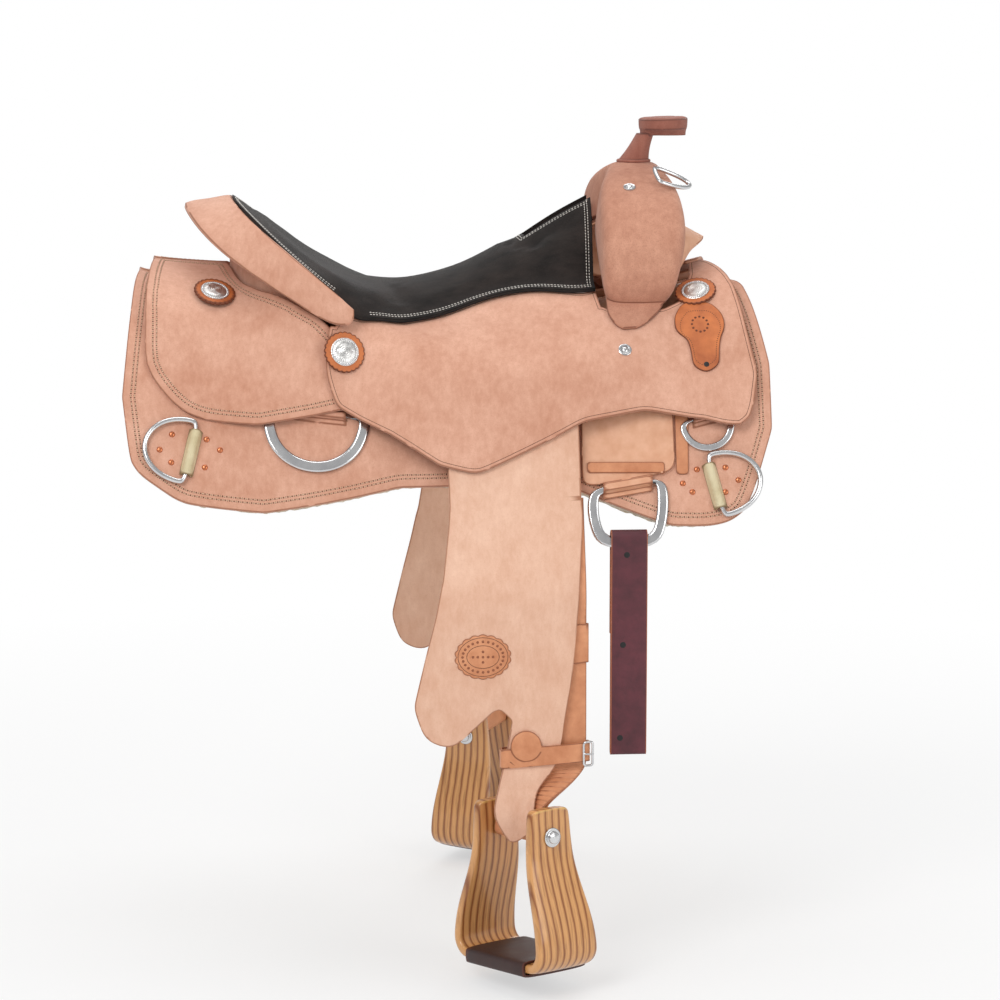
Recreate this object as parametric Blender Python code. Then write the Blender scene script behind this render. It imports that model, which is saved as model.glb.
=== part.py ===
"""Western show saddle with roughout leather, a suede seat and wooden stirrups.

Run with: blender --background --python part.py
Metres, +Z up, +X towards the horse's head, +Y to the horse's left.
The origin is on the middle plane, on the crest of the horse's back under the seat.
"""

import math

import bmesh
import bpy
from mathutils import Vector

for old in list(bpy.data.objects):
    bpy.data.objects.remove(old, do_unlink=True)

# The form of the horse's back that every layer is built on.
# s is measured down over the back from the middle line, x along it, h off it.
SIDE_SLOPE = math.radians(68.0)
TURN_LENGTH = 0.120
ROCKER = 1.100
CROSS_LINES = [0.0, 0.03, 0.06, 0.08, 0.10, 0.12, 0.14, 0.16, 0.18, 0.20, 0.22, 0.24, 0.29, 0.46]
LONG_STEP = 0.05
LONG_LINES = [LONG_STEP * k for k in range(-7, 8)]
GAP = 0.0004
LAYER_GAP = 0.0010

# Layers
FLEECE_DEEP = 0.016
SKIRT_THICK = 0.005
BAR_TOP = 0.0165
BAR_LEVEL = 0.0185
JOCKEY_THICK = 0.0035
DEE_ROOM = 0.0058
FLANK_LEVEL = SKIRT_THICK + GAP

# Seat
PAD_THICK = 0.011
PAD_EDGE = 0.005
PAD_LAP = 0.007
GROUND_MID = 0.010
GROUND_EDGE = 0.003
SEAT_ROWS = 13
CANTLE_X = -0.112
CANTLE_LONG = 0.119
CANTLE_HALF = 0.129
SEAM_TOP = 0.138
SEAM_END = 0.030
ROLL_WIDE = 0.052
ROLL_THICK = 0.0105
ROLL_START = 0.0046
WALL_THICK = 0.014
WALL_INSIDE = 0.0008
WALL_FOOT = 0.0024
WALL_DROP = 0.0060

# Fork and horn
COVER_THICK = 0.0034
COVER_GAP = 0.0016
GULLET_THICK = 0.0031
HORN_BASE = 0.0165
HORN_WAIST = 0.0115
HORN_TOP_Z = 0.2020
HORN_LEAN = 0.0125
CAP_LONG = 0.0275
CAP_WIDE = 0.033
CAP_THICK = 0.020
CAP_AHEAD = 0.020
FORK_TOP_Z = 0.168
FORK_X = 0.208

# Stirrup leather and fender, in their own plane: u along, t down from the swing pivot, n off the back
FENDER_X = 0.080
PIVOT_S = 0.150
PIVOT_U = 0.0
FLEX_T = 0.142
BEND_T = 0.240
HANG_ANGLE = math.radians(88.0)
FLARE_T = 0.418
FLARE_ANGLE = math.radians(79.0)
LOBE_CLEAR = 0.0014
FENDER_THICK = 0.0036
FENDER_N = 0.0214
LEATHER_N = 0.0175
HANGER_N = 0.0136
PLY = 0.0035
STRAP_WIDE = 0.073
STRAP_U = 0.0150
TOP_N = 0.0182
STACK_CLEAR = 0.0012
STRAP_MID_N = 0.0142
PLY_GAP = 0.0004
TWIST = math.radians(57.0)
STRAP_END_U = -0.017
BOLT_T = 0.488
TWIST_T = 0.4175
TWIST_END_T = 0.464
INNER_END_T = 0.262
BOLT_R = 0.0045
STRAP_EYE_R = 0.0049
SLEEVE_T = 0.272
SLEEVE_LONG = 0.041
SLEEVE_WALL = 0.0024
HOBBLE_T = 0.397
HOBBLE_WIDE = 0.020
HOBBLE_THICK = 0.0028
HOBBLE_DISC_R = 0.0165
HOBBLE_REAR_U = -0.0375
HOBBLE_DISC_U = -0.013

# Stirrup
NECK_HALF = 0.0395
LEG_THICK = 0.012
BELL_HALF = 0.065
LEG_ABOVE = 0.030
LEG_TOP_ROUND = 0.008
BELL_DOWN = 0.095
FOOT_DOWN = 0.129
NECK_BROAD = 0.052
FOOT_BROAD = 0.078
TREAD_THICK = 0.003
TREAD_HALF = 0.050
WASHER_R = 0.0105
WASHER_THICK = 0.0015
BOLT_HEAD_R = 0.0065
BOLT_HEAD = 0.005

# Rings and dees
ROD_R = 0.0030
SMALL_DEE_HALF = 0.0345
SMALL_DEE_DEEP = 0.050
KEEPER_LONG = 0.050
KEEPER_WALL = 0.0018
PLATE_WIDE = 0.0115
PLATE_THICK = 0.0030
RIG_BAR_S = 0.285
RIG_BAR_H = 0.0092
RIG_END_S = 0.3485
RIG_END_H = 0.0076
RIG_X = 0.180
RIG_HALF = 0.0375
FLANK_DEE_X = -0.147
FLANK_DEE_S = 0.198
FLANK_DEE_HALF = 0.0515
FLANK_DEE_DEEP = 0.060
BREAST_DEE_X = 0.265
BREAST_DEE_S = 0.228
BREAST_DEE_HALF = 0.0265
BREAST_DEE_DEEP = 0.036
RIG_BAR = 0.0050
RIG_ARCH_HALF = 0.026
THIN_BAR = 0.0026
THIN_PLATE = 0.0024
DEE_ARCH_TOP = 0.0098
DEE_SEAT = 0.0026

# Off billet
BILLET_X = 0.1790
BILLET_WIDE = 0.0385
BILLET_THICK = 0.0028
BILLET_EYE_R = 0.0057
BILLET_RISE = 0.0065
BILLET_LONG = 0.226
BILLET_TAIL = 0.105
BILLET_SLANT = 0.0075
BACK_Q = -0.0001

# Conchos
ROSETTE_R = 0.0225
CONCHO_R = 0.0165
ROSETTE_THICK = 0.0016
SCREW_R = 0.003
SCREW_GAP = 0.0004
FACET_SAG = 0.0009

SIDES = (("right", -1), ("left", 1))

ROUGHOUT = ((0.72, 0.45, 0.32), 0.9, 0.0)
SUEDE = ((0.015, 0.014, 0.014), 0.95, 0.0)
TAN = ((0.55, 0.24, 0.10), 0.6, 0.0)
BURGUNDY = ((0.09, 0.015, 0.025), 0.45, 0.0)
FLEECE = ((0.75, 0.68, 0.55), 1.0, 0.0)
TREE = ((0.62, 0.50, 0.33), 0.6, 0.0)
STEEL = ((0.75, 0.75, 0.77), 0.2, 1.0)
WOOD = ((0.52, 0.28, 0.10), 0.35, 0.0)
DARK = ((0.06, 0.025, 0.022), 0.6, 0.0)
CREAM = ((0.70, 0.60, 0.42), 0.6, 0.0)


def mix(a, b, t):
    return a + (b - a) * t


def ease(t):
    t = min(max(t, 0.0), 1.0)
    return t * t * (3.0 - 2.0 * t)


def along(stops, value):
    """Reads a value off straight lines between (place, value) stops."""
    if value <= stops[0][0]:
        return stops[0][1]
    for (a, fa), (b, fb) in zip(stops, stops[1:]):
        if value <= b:
            return mix(fa, fb, (value - a) / (b - a))
    return stops[-1][1]


def round_corners(corners, steps=4):
    """Turns (a, b, radius) corners into an outline with an arc at each corner."""
    outline = []
    count = len(corners)
    for k, (a, b, radius) in enumerate(corners):
        here = Vector((a, b))
        before = Vector(corners[k - 1][:2]) - here
        after = Vector(corners[(k + 1) % count][:2]) - here
        if radius <= 0.0:
            outline.append((a, b))
            continue
        turn = before.angle(after)
        cut = radius / math.tan(turn / 2.0)
        cut = min(cut, 0.49 * before.length, 0.49 * after.length)
        start = here + before.normalized() * cut
        end = here + after.normalized() * cut
        for i in range(steps + 1):
            t = i / steps
            point = start * (1 - t) ** 2 + here * (2 * t * (1 - t)) + end * t ** 2
            outline.append((point.x, point.y))
    return outline


class Rib:
    """A bent line in the cross plane. Layers over it keep equal heights off each straight run."""

    def __init__(self, stations, points, first_normal=None):
        self.stations = stations
        self.points = [Vector(p) for p in points]
        runs = [(b - a).normalized() for a, b in zip(self.points, self.points[1:])]
        normals = [Vector((-d.y, d.x)) for d in runs]
        before = [first_normal or normals[0]] + normals
        after = normals + [normals[-1]]
        self.miters = [(a + b) / (1.0 + a.dot(b)) for a, b in zip(before, after)]

    def at(self, station, height):
        last = len(self.stations) - 2
        k = 0
        while k < last and station > self.stations[k + 1]:
            k += 1
        span = self.stations[k + 1] - self.stations[k]
        t = (station - self.stations[k]) / span
        a = self.points[k] + self.miters[k] * height
        b = self.points[k + 1] + self.miters[k + 1] * height
        return a + (b - a) * t


def flank_rib():
    step = 0.001
    points = [(0.0, 0.0)]
    out = up = s = 0.0
    for line in CROSS_LINES[1:]:
        while s < line - step / 2.0:
            slope = SIDE_SLOPE * (1.0 - math.exp(-(((s + step / 2.0) / TURN_LENGTH) ** 2)))
            out += math.cos(slope) * step
            up -= math.sin(slope) * step
            s += step
        points.append((out, up))
    first = Vector(points[1]).normalized()
    return Rib(CROSS_LINES, points, Vector((first.y, first.x)))


FLANK = flank_rib()


def rocker(x):
    k = math.floor(x / LONG_STEP + 1e-6)
    a = k * LONG_STEP
    b = a + LONG_STEP
    return mix(a * a, b * b, (x - a) / LONG_STEP) / (2.0 * ROCKER)


def on_flank(side, x, s, h, lift=0.0):
    spot = FLANK.at(s, h)
    return Vector((x, side * spot.x, spot.y + rocker(x) + lift))


def s_over(y, h):
    """How far down the back the layer h reaches the half width y."""
    low, high = 0.0, 0.30
    for _ in range(40):
        middle = (low + high) / 2.0
        if FLANK.at(middle, h).x < abs(y):
            low = middle
        else:
            high = middle
    return low


def layer_z(x, y, h):
    """Height of the layer h over the place x, y."""
    return FLANK.at(s_over(y, h), h).y + rocker(x)


def flank_frame(side, x, s, h):
    """Place on the flank with its along, down and off directions."""
    origin = on_flank(side, x, s, h)
    ahead = (on_flank(side, x + 0.004, s, h) - on_flank(side, x - 0.004, s, h)).normalized()
    down = on_flank(side, x, s + 0.004, h) - on_flank(side, x, s - 0.004, h)
    off = ahead.cross(down) * side
    off.normalize()
    if off.dot(on_flank(side, x, s, h + 0.01) - origin) < 0:
        off.negate()
    down = (down - ahead * down.dot(ahead)).normalized()
    return origin, ahead, down, off


# Mesh helpers


def material(name, finish):
    colour, rough, metal = finish
    made = bpy.data.materials.new(name)
    made.use_nodes = True
    shader = made.node_tree.nodes["Principled BSDF"]
    shader.inputs["Base Color"].default_value = (*colour, 1.0)
    shader.inputs["Roughness"].default_value = rough
    shader.inputs["Metallic"].default_value = metal
    return made


def make(name, bm, finish, origin=None, smooth=False):
    """Closes a bmesh into a named object with its own material and origin."""
    origin = Vector(origin) if origin is not None else Vector()
    bmesh.ops.recalc_face_normals(bm, faces=bm.faces[:])
    if bm.calc_volume(signed=True) < 0:
        bmesh.ops.reverse_faces(bm, faces=bm.faces[:])
    bmesh.ops.translate(bm, verts=bm.verts[:], vec=-origin)
    mesh = bpy.data.meshes.new(name)
    bm.to_mesh(mesh)
    bm.free()
    if smooth:
        mesh.shade_smooth()
        mesh.set_sharp_from_angle(angle=math.radians(40.0))
    mesh.materials.append(material(name, finish))
    made = bpy.data.objects.new(name, mesh)
    made.location = origin
    bpy.context.scene.collection.objects.link(made)
    return made


def sheet(outline, low, high, place, cross_lines=(), long_lines=()):
    """A sheet of material: an outline cut along the form's lines, with a lower and an upper face."""
    flat = bmesh.new()
    flat.faces.new([flat.verts.new((a, b, 0.0)) for a, b in outline])
    cuts = [((x, 0, 0), (1, 0, 0)) for x in long_lines] + [((0, s, 0), (0, 1, 0)) for s in cross_lines]
    for spot, normal in cuts:
        everything = flat.verts[:] + flat.edges[:] + flat.faces[:]
        bmesh.ops.bisect_plane(flat, geom=everything, dist=1e-6, plane_co=spot, plane_no=normal)
    bmesh.ops.remove_doubles(flat, verts=flat.verts[:], dist=0.0005)
    bmesh.ops.triangulate(flat, faces=flat.faces[:])
    flat.verts.index_update()
    solid = bmesh.new()
    lower, upper = [], []
    for vert in flat.verts:
        a, b = vert.co.x, vert.co.y
        lower.append(solid.verts.new(place(a, b, low(a, b))))
        upper.append(solid.verts.new(place(a, b, high(a, b))))
    for face in flat.faces:
        ids = [v.index for v in face.verts]
        solid.faces.new([upper[i] for i in ids])
        solid.faces.new([lower[i] for i in reversed(ids)])
    for edge in flat.edges:
        if len(edge.link_loops) == 1:
            loop = edge.link_loops[0]
            i, j = loop.vert.index, loop.link_loop_next.vert.index
            solid.faces.new((upper[j], upper[i], lower[i], lower[j]))
    flat.free()
    return solid


def loft(rings, closed=False):
    """Joins rings of equal point count, capped at both ends, or joined end to end if closed."""
    bm = bmesh.new()
    rows = [[bm.verts.new(p) for p in ring] for ring in rings]
    count = len(rows[0])
    pairs = list(zip(rows, rows[1:]))
    if closed:
        pairs.append((rows[-1], rows[0]))
    for one, two in pairs:
        for k in range(count):
            m = (k + 1) % count
            bm.faces.new((one[k], one[m], two[m], two[k]))
    if not closed:
        bm.faces.new(list(reversed(rows[0])))
        bm.faces.new(rows[-1])
    return bm


def turned(profile, origin, axis, steps=12):
    """Turns (distance along, radius) points round an axis. Zero radii become single points."""
    axis = Vector(axis).normalized()
    origin = Vector(origin)
    across = axis.orthogonal().normalized()
    other = axis.cross(across)
    bm = bmesh.new()
    rows = []
    for length, radius in profile:
        if radius == 0.0:
            rows.append([bm.verts.new(origin + axis * length)])
            continue
        row = []
        for k in range(steps):
            angle = 2.0 * math.pi * k / steps
            spoke = across * math.cos(angle) + other * math.sin(angle)
            row.append(bm.verts.new(origin + axis * length + spoke * radius))
        rows.append(row)
    for one, two in zip(rows, rows[1:]):
        for k in range(steps):
            m = (k + 1) % steps
            corners = [one[k % len(one)], one[m % len(one)], two[m % len(two)], two[k % len(two)]]
            kept = []
            for corner in corners:
                if corner not in kept:
                    kept.append(corner)
            bm.faces.new(kept)
    return bm


def frame_sweep(path, section_at, frame):
    """Sweeps a closed path in a frame's plane. section_at(k) gives (in-plane, off-plane) points."""
    origin, first, second, off = frame
    count = len(path)
    rings = []
    for k in range(count):
        here = Vector(path[k])
        before = (here - Vector(path[k - 1])).normalized()
        after = (Vector(path[(k + 1) % count]) - here).normalized()
        side = Vector((-(before + after).y, (before + after).x)).normalized()
        stretch = 1.0 / max(0.35, side.dot(Vector((-before.y, before.x))))
        ring = []
        for across, raised in section_at(k):
            spot = here + side * across * stretch
            ring.append(origin + first * spot.x + second * spot.y + off * raised)
        rings.append(ring)
    return loft(rings, closed=True)


def union(target, cutter, operation="UNION"):
    """Joins or cuts a finished object by another, and removes the other."""
    step = target.modifiers.new("join", "BOOLEAN")
    step.operation = operation
    step.solver = "EXACT"
    step.object = cutter
    bpy.context.view_layer.update()
    graph = bpy.context.evaluated_depsgraph_get()
    mesh = bpy.data.meshes.new_from_object(target.evaluated_get(graph))
    target.modifiers.remove(step)
    old = target.data
    target.data = mesh
    mesh.name = target.name
    bpy.data.meshes.remove(old)
    bpy.data.objects.remove(cutter, do_unlink=True)


# Heights of the leather layers over skirt, bars and hardware

BAR_RISE = [(0.10, 1.0), (0.12, 0.85), (0.14, 0.43), (0.16, 0.10), (0.18, 0.0)]
DEE_WINDOW = [
    (-0.25, 0.0), (-0.20, 1.0), (-0.10, 1.0), (-0.05, 0.0), (0.15, 0.0), (0.20, 1.0), (0.30, 1.0), (0.35, 0.0)]
FENDER_WINDOW = [(-0.10, 0.0), (-0.05, 1.0), (0.15, 1.0), (0.20, 0.5), (0.25, 0.0)]
FENDER_FADE = [(0.10, 0.0), (0.12, 0.35), (0.14, 0.70), (0.16, 1.0)]


def first_layer(x, s):
    flank = FLANK_LEVEL + DEE_ROOM * along(DEE_WINDOW, x)
    return mix(flank, BAR_LEVEL, along(BAR_RISE, s))


def second_layer(x, s):
    return first_layer(x, s) + JOCKEY_THICK + LAYER_GAP


def straight_run():
    """Start, direction and normal of the flank's straight lower run."""
    a, b = FLANK.points[-2], FLANK.points[-1]
    run = (b - a).normalized()
    return a, run, Vector((-run.y, run.x))


def over_plane(s, n):
    """Height off the back at which the straight plane n above the lower run passes."""
    start, _, normal = straight_run()
    spot = FLANK.at(s, 0.0)
    rise = FLANK.at(s, 1.0) - spot
    return (n - (spot - start).dot(normal)) / rise.dot(normal)


def seat_jockey_low(x, s):
    plain = second_layer(x, s)
    top = FENDER_N + FENDER_THICK + STACK_CLEAR
    bridged = mix(plain, max(plain, over_plane(s, top)), along(FENDER_FADE, s))
    return mix(plain, bridged, along(FENDER_WINDOW, x))


# Line where the seat meets the jockeys, and how far the leather is lifted there

SEAT_EDGE = [
    (-0.118, 0.120), (-0.101, 0.111), (-0.078, 0.100), (-0.056, 0.093), (-0.012, 0.084),
    (0.045, 0.072), (0.090, 0.074), (0.140, 0.085), (0.156, 0.078),
]
LIFT_START = [
    (-0.260, 0.040), (-0.235, 0.055), (-0.216, 0.095), (-0.182, 0.125), (-0.140, 0.138), (-0.118, 0.130),
    (-0.101, 0.115), (-0.056, 0.091), (-0.012, 0.084), (0.045, 0.072), (0.090, 0.074), (0.140, 0.085),
    (0.156, 0.078),
]
LIFT = [
    (-0.260, 0.0), (-0.235, 0.003), (-0.216, 0.012), (-0.182, 0.032), (-0.140, 0.036), (-0.118, 0.028),
    (-0.101, 0.016), (-0.056, 0.0), (-0.012, 0.0025), (0.045, 0.015), (0.090, 0.0205), (0.115, 0.020), (0.140, 0.017),
    (0.156, 0.014), (0.200, 0.0),
]
LIFT_SPAN = 0.062
SEAT_CREST = [
    (-0.231, 0.066), (-0.200, 0.062), (-0.172, 0.055), (-0.128, 0.044), (-0.090, 0.040), (-0.051, 0.038),
    (0.005, 0.049), (0.043, 0.068), (0.082, 0.090), (0.121, 0.117), (0.158, 0.143),
]
JOCKEY_CREST = [(-0.32, 0.0), (-0.227, 0.018)]
JOCKEY_LINES = sorted(LONG_LINES + [-0.325 + LONG_STEP * k for k in range(14)])


def jockey_lift(x, s):
    """The leather climbs towards the seat's edge and the underside of the cantle's roll."""
    return along(LIFT, x) * (1.0 - ease((s - along(LIFT_START, x)) / LIFT_SPAN))


def rear_lift(x, s):
    crest = along(JOCKEY_CREST, x) * (1.0 - ease(s / 0.10))
    return max(crest, jockey_lift(x, s))


def jockey_top(side, x, s, extra=0.0):
    return on_flank(side, x, s, seat_jockey_low(x, s) + JOCKEY_THICK + extra, jockey_lift(x, s))


# Skirts and fleece

SKIRT = [
    (-0.336, 0.012, 0.004), (-0.343, 0.120, 0.02), (-0.352, 0.225, 0.03), (-0.343, 0.300, 0.03),
    (-0.290, 0.322, 0.05), (-0.205, 0.314, 0.05), (-0.060, 0.270, 0.08), (0.100, 0.266, 0.08),
    (0.225, 0.337, 0.05), (0.302, 0.356, 0.04), (0.336, 0.262, 0.03), (0.337, 0.190, 0.05),
    (0.318, 0.070, 0.05), (0.292, 0.012, 0.004),
]


def shrink(corners, by):
    middle_x = sum(c[0] for c in corners) / len(corners)
    middle_s = sum(c[1] for c in corners) / len(corners)
    moved = []
    for a, b, r in corners:
        moved.append((a - math.copysign(by, a - middle_x), b - math.copysign(by, b - middle_s), r))
    return moved


def flank_panel(name, side, corners, low, high, finish, lift=None, lines=LONG_LINES):
    def place(x, s, h):
        return on_flank(side, x, s, h, lift(x, s) if lift else 0.0)

    solid = sheet(round_corners(corners, 3), low, high, place, CROSS_LINES, lines)
    return make(name, solid, finish)


for tag, side in SIDES:
    flank_panel(
        f"skirt_{tag}", side, SKIRT, lambda x, s: 0.0, lambda x, s: SKIRT_THICK, ROUGHOUT)
    flank_panel(
        f"fleece_{tag}", side, shrink(SKIRT, 0.004),
        lambda x, s: -FLEECE_DEEP, lambda x, s: -GAP, FLEECE)

# Tree bars, with a groove across the top for the stirrup leather

BAR = [
    (-0.300, 0.045, 0.02), (-0.300, 0.110, 0.04), (-0.230, 0.133, 0.04), (0.230, 0.133, 0.04),
    (0.290, 0.110, 0.04), (0.290, 0.045, 0.02), (0.200, 0.035, 0.02), (-0.200, 0.035, 0.02),
]
BAR_CROWN = [(0.035, 0.0115), (0.06, BAR_TOP), (0.10, BAR_TOP), (0.12, 0.0145), (0.135, 0.0085)]
GROOVE_DEEP = 0.0040
GROOVE_SIDE = 0.003
STRAP_LEFT = FENDER_X + STRAP_U - STRAP_WIDE / 2.0
STRAP_RIGHT = FENDER_X + STRAP_U + STRAP_WIDE / 2.0
GROOVE = [
    (STRAP_LEFT - GROOVE_SIDE - 0.001, 0.0), (STRAP_LEFT - GROOVE_SIDE, 1.0),
    (STRAP_RIGHT + GROOVE_SIDE, 1.0), (STRAP_RIGHT + GROOVE_SIDE + 0.001, 0.0),
]


def bar_high(x, s):
    inside = along([(0.052, 0.0), (0.053, 1.0), (0.10, 1.0), (0.12, 0.3), (0.135, 0.0)], s)
    return along(BAR_CROWN, s) - GROOVE_DEEP * along(GROOVE, x) * inside


for tag, side in SIDES:
    lines = LONG_LINES + [stop[0] for stop in GROOVE]

    def bar_place(x, s, h, side=side):
        return on_flank(side, x, s, h)

    bar = sheet(
        round_corners(BAR, 3), lambda x, s: FLANK_LEVEL, bar_high, bar_place,
        CROSS_LINES + [0.052, 0.053], lines)
    make(f"tree_bar_{tag}", bar, TREE)

# Leather hanger over each bar

HANGER_END_S = 0.188


def hanger_low(x, s):
    groove = BAR_TOP - GROOVE_DEEP + GAP
    return along([(0.055, groove), (0.10, groove), (0.14, over_plane(0.14, HANGER_N) - 0.004),
                  (0.16, over_plane(0.16, HANGER_N)), (0.18, over_plane(0.18, HANGER_N)),
                  (0.20, over_plane(0.20, HANGER_N))], s)


for tag, side in SIDES:
    corners = [
        (STRAP_LEFT, 0.058, 0), (STRAP_LEFT, HANGER_END_S, 0),
        (STRAP_RIGHT, HANGER_END_S, 0), (STRAP_RIGHT, 0.058, 0),
    ]
    flank_panel(
        f"leather_hanger_{tag}", side, corners, hanger_low,
        lambda x, s: hanger_low(x, s) + PLY, TAN)

# The cantle's arc, seen from above, and the tilt of the roll along it


def seam_z(x):
    return mix(SEAM_TOP, SEAM_END, (x - (CANTLE_X - CANTLE_LONG)) / CANTLE_LONG)


def arc_spot(v, out=0.0):
    """Plan place on the cantle's arc, v from -1 to 1, moved out square to the arc."""
    angle = v * math.pi / 2.0
    normal = Vector((-CANTLE_HALF * math.cos(angle), CANTLE_LONG * math.sin(angle))).normalized()
    spot = Vector((CANTLE_X - CANTLE_LONG * math.cos(angle), CANTLE_HALF * math.sin(angle)))
    return spot + normal * out


def roll_tilt(v):
    return math.radians(mix(8.0, 76.0, ease(abs(v) / 0.78)))


def wall_out(v):
    tilt = roll_tilt(v)
    room = (PAD_THICK - ROLL_THICK * math.cos(tilt)) / math.tan(tilt)
    return min(WALL_THICK, ROLL_START + room - 0.0006)


# Rear jockeys

REAR_JOCKEY = [
    (-0.320, 0.010, 0.004), (-0.327, 0.110, 0.03), (-0.328, 0.190, 0.05), (-0.285, 0.228, 0.05),
    (-0.210, 0.222, 0.05), (-0.130, 0.196, 0.03), (-0.095, 0.186, 0.01), (-0.095, 0.156, 0.01),
    (-0.120, 0.146, 0.01),
]
for v in (0.84, 0.72, 0.60, 0.48, 0.36, 0.24, 0.05):
    inner = arc_spot(v, wall_out(v) + 0.0025)
    REAR_JOCKEY.append((inner.x, max(s_over(inner.y, BAR_LEVEL), 0.010), 0.0))

for tag, side in SIDES:
    flank_panel(
        f"rear_jockey_{tag}", side, REAR_JOCKEY, first_layer,
        lambda x, s: first_layer(x, s) + JOCKEY_THICK, ROUGHOUT, rear_lift, JOCKEY_LINES)

# Seat jockeys

JOCKEY_OUTER = [
    (-0.133, 0.139, 0.008), (-0.138, 0.170, 0.02), (-0.126, 0.192, 0.02), (-0.071, 0.219, 0.03),
    (-0.020, 0.252, 0.03), (0.020, 0.262, 0.03), (0.066, 0.243, 0.05), (0.135, 0.215, 0.05),
    (0.200, 0.211, 0.05), (0.262, 0.233, 0.05), (0.311, 0.258, 0.02), (0.322, 0.200, 0.04),
    (0.304, 0.095, 0.05), (0.283, 0.012, 0.004), (0.268, 0.012, 0.004), (0.262, 0.060, 0.01),
    (0.250, 0.100, 0.01), (0.228, 0.107, 0.01), (0.176, 0.107, 0.01), (0.162, 0.100, 0.005),
]
SEAT_SIDE_GAP = 0.0020


def jockey_outline():
    outer = round_corners(JOCKEY_OUTER, 3)
    inner = [(x, along(SEAT_EDGE, x) + SEAT_SIDE_GAP) for x, _ in reversed(SEAT_EDGE)]
    return outer + inner


for tag, side in SIDES:

    def jockey_place(x, s, h, side=side):
        return on_flank(side, x, s, h, jockey_lift(x, s))

    jockey = sheet(
        jockey_outline(), seat_jockey_low, lambda x, s: seat_jockey_low(x, s) + JOCKEY_THICK,
        jockey_place, CROSS_LINES, JOCKEY_LINES)
    make(f"seat_jockey_{tag}", jockey, ROUGHOUT)

# Seat: the ground seat over the tree, and the padded suede seat on it

SEAT_HALF = [0.12, 0.24, 0.36, 0.48, 0.60, 0.72, 0.84, 0.93, 1.0]
SEAT_COLUMNS = [-v for v in reversed(SEAT_HALF)] + [0.0] + SEAT_HALF
HAND_HOLE_X = 0.122
HAND_HOLE_HALF = 0.26
FRONT_X = 0.158
RIM_BACK = 0.004
LAP_OVER = 0.0032
FRONT_BACK = 0.003


def edge_spot(x, extra_s=0.0, extra_h=0.0):
    s = along(SEAT_EDGE, x) + extra_s
    return jockey_top(1, x, s, extra_h)


def ground_spot(u, v):
    """Top face of the ground seat."""
    rear = arc_spot(v)
    front_x = FRONT_X - FRONT_BACK * v * v
    x = mix(rear.x, front_x, u)
    side_x = min(max(x, SEAT_EDGE[0][0]), SEAT_EDGE[-1][0])
    edge = edge_spot(side_x, -RIM_BACK * ease(u / 0.15))
    y = mix(rear.y, v * edge.y, ease(u / mix(0.35, 0.14, abs(v) ** 3)))
    crest = along(SEAT_CREST, x) - PAD_THICK
    z = mix(crest, edge.z, abs(v) ** 2.2)
    rear_edge = edge_spot(SEAT_EDGE[0][0])
    rear_crest = along(SEAT_CREST, rear.x) - PAD_THICK
    base = mix(rear_crest, rear_edge.z, abs(v) ** 2.2)
    lift = seam_z(rear.x) - PAD_THICK - base
    z += lift * max(0.0, 1.0 - u / 0.42) ** 2.3
    return Vector((x, y, z))


def seat_rows():
    return [(k / (SEAT_ROWS - 1)) ** 1.15 for k in range(SEAT_ROWS)]


def seat_solid(top_at, bottom_at, columns, rows):
    """A closed grid of upper and lower points, with a notch for the hand hole at the front."""
    bm = bmesh.new()
    upper = [[bm.verts.new(top_at(u, v)) for v in columns] for u in rows]
    lower = [[bm.verts.new(bottom_at(u, v)) for v in columns] for u in rows]

    def cell(i, j):
        if not (0 <= i < len(rows) - 1 and 0 <= j < len(columns) - 1):
            return False
        middle = (columns[j] + columns[j + 1]) / 2.0
        return not (rows[i] >= rows[-3] - 1e-6 and abs(middle) < HAND_HOLE_HALF)

    for i in range(len(rows) - 1):
        for j in range(len(columns) - 1):
            if not cell(i, j):
                continue
            bm.faces.new((upper[i][j], upper[i][j + 1], upper[i + 1][j + 1]))
            bm.faces.new((upper[i][j], upper[i + 1][j + 1], upper[i + 1][j]))
            bm.faces.new((lower[i][j], lower[i + 1][j + 1], lower[i][j + 1]))
            bm.faces.new((lower[i][j], lower[i + 1][j], lower[i + 1][j + 1]))
            for near, a, b in (
                ((i - 1, j), (i, j), (i, j + 1)), ((i + 1, j), (i + 1, j + 1), (i + 1, j)),
                ((i, j - 1), (i + 1, j), (i, j)), ((i, j + 1), (i, j + 1), (i + 1, j + 1)),
            ):
                if not cell(*near):
                    one, two = upper[a[0]][a[1]], upper[b[0]][b[1]]
                    bm.faces.new((two, one, lower[a[0]][a[1]], lower[b[0]][b[1]]))
    loose = [v for v in bm.verts if not v.link_faces]
    bmesh.ops.delete(bm, geom=loose, context="VERTS")
    return bm


def ground_bottom(u, v):
    top = ground_spot(u, v)
    thick = mix(GROUND_MID, GROUND_EDGE, v * v)
    floor = layer_z(top.x, top.y, BAR_TOP) + 0.0008
    bottom = max(top.z - thick, floor) if abs(top.y) > 0.025 else top.z - thick
    return Vector((top.x, top.y, min(bottom, top.z - 0.0015)))


make("ground_seat", seat_solid(ground_spot, ground_bottom, SEAT_COLUMNS, seat_rows()), TAN)


def pad_low(u, v):
    if abs(v) > 1.0:
        side = math.copysign(1.0, v)
        x = mix(CANTLE_X, SEAT_EDGE[-1][0], u)
        spot = edge_spot(x, PAD_LAP, LAP_OVER)
        return Vector((spot.x, side * spot.y, spot.z))
    spot = ground_spot(u, v)
    if u == 0.0:
        rim = arc_spot(v, ROLL_START - GAP)
        ahead = ground_spot(seat_rows()[1], v)
        reach = (ROLL_START - GAP) / max((spot - ahead).xy.length, ROLL_START)
        raised = (spot.z - ahead.z) * reach * math.cos(v * math.pi / 2.0)
        spot = Vector((rim.x, rim.y, spot.z + raised))
    return spot + Vector((0, 0, 0.0006))


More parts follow.
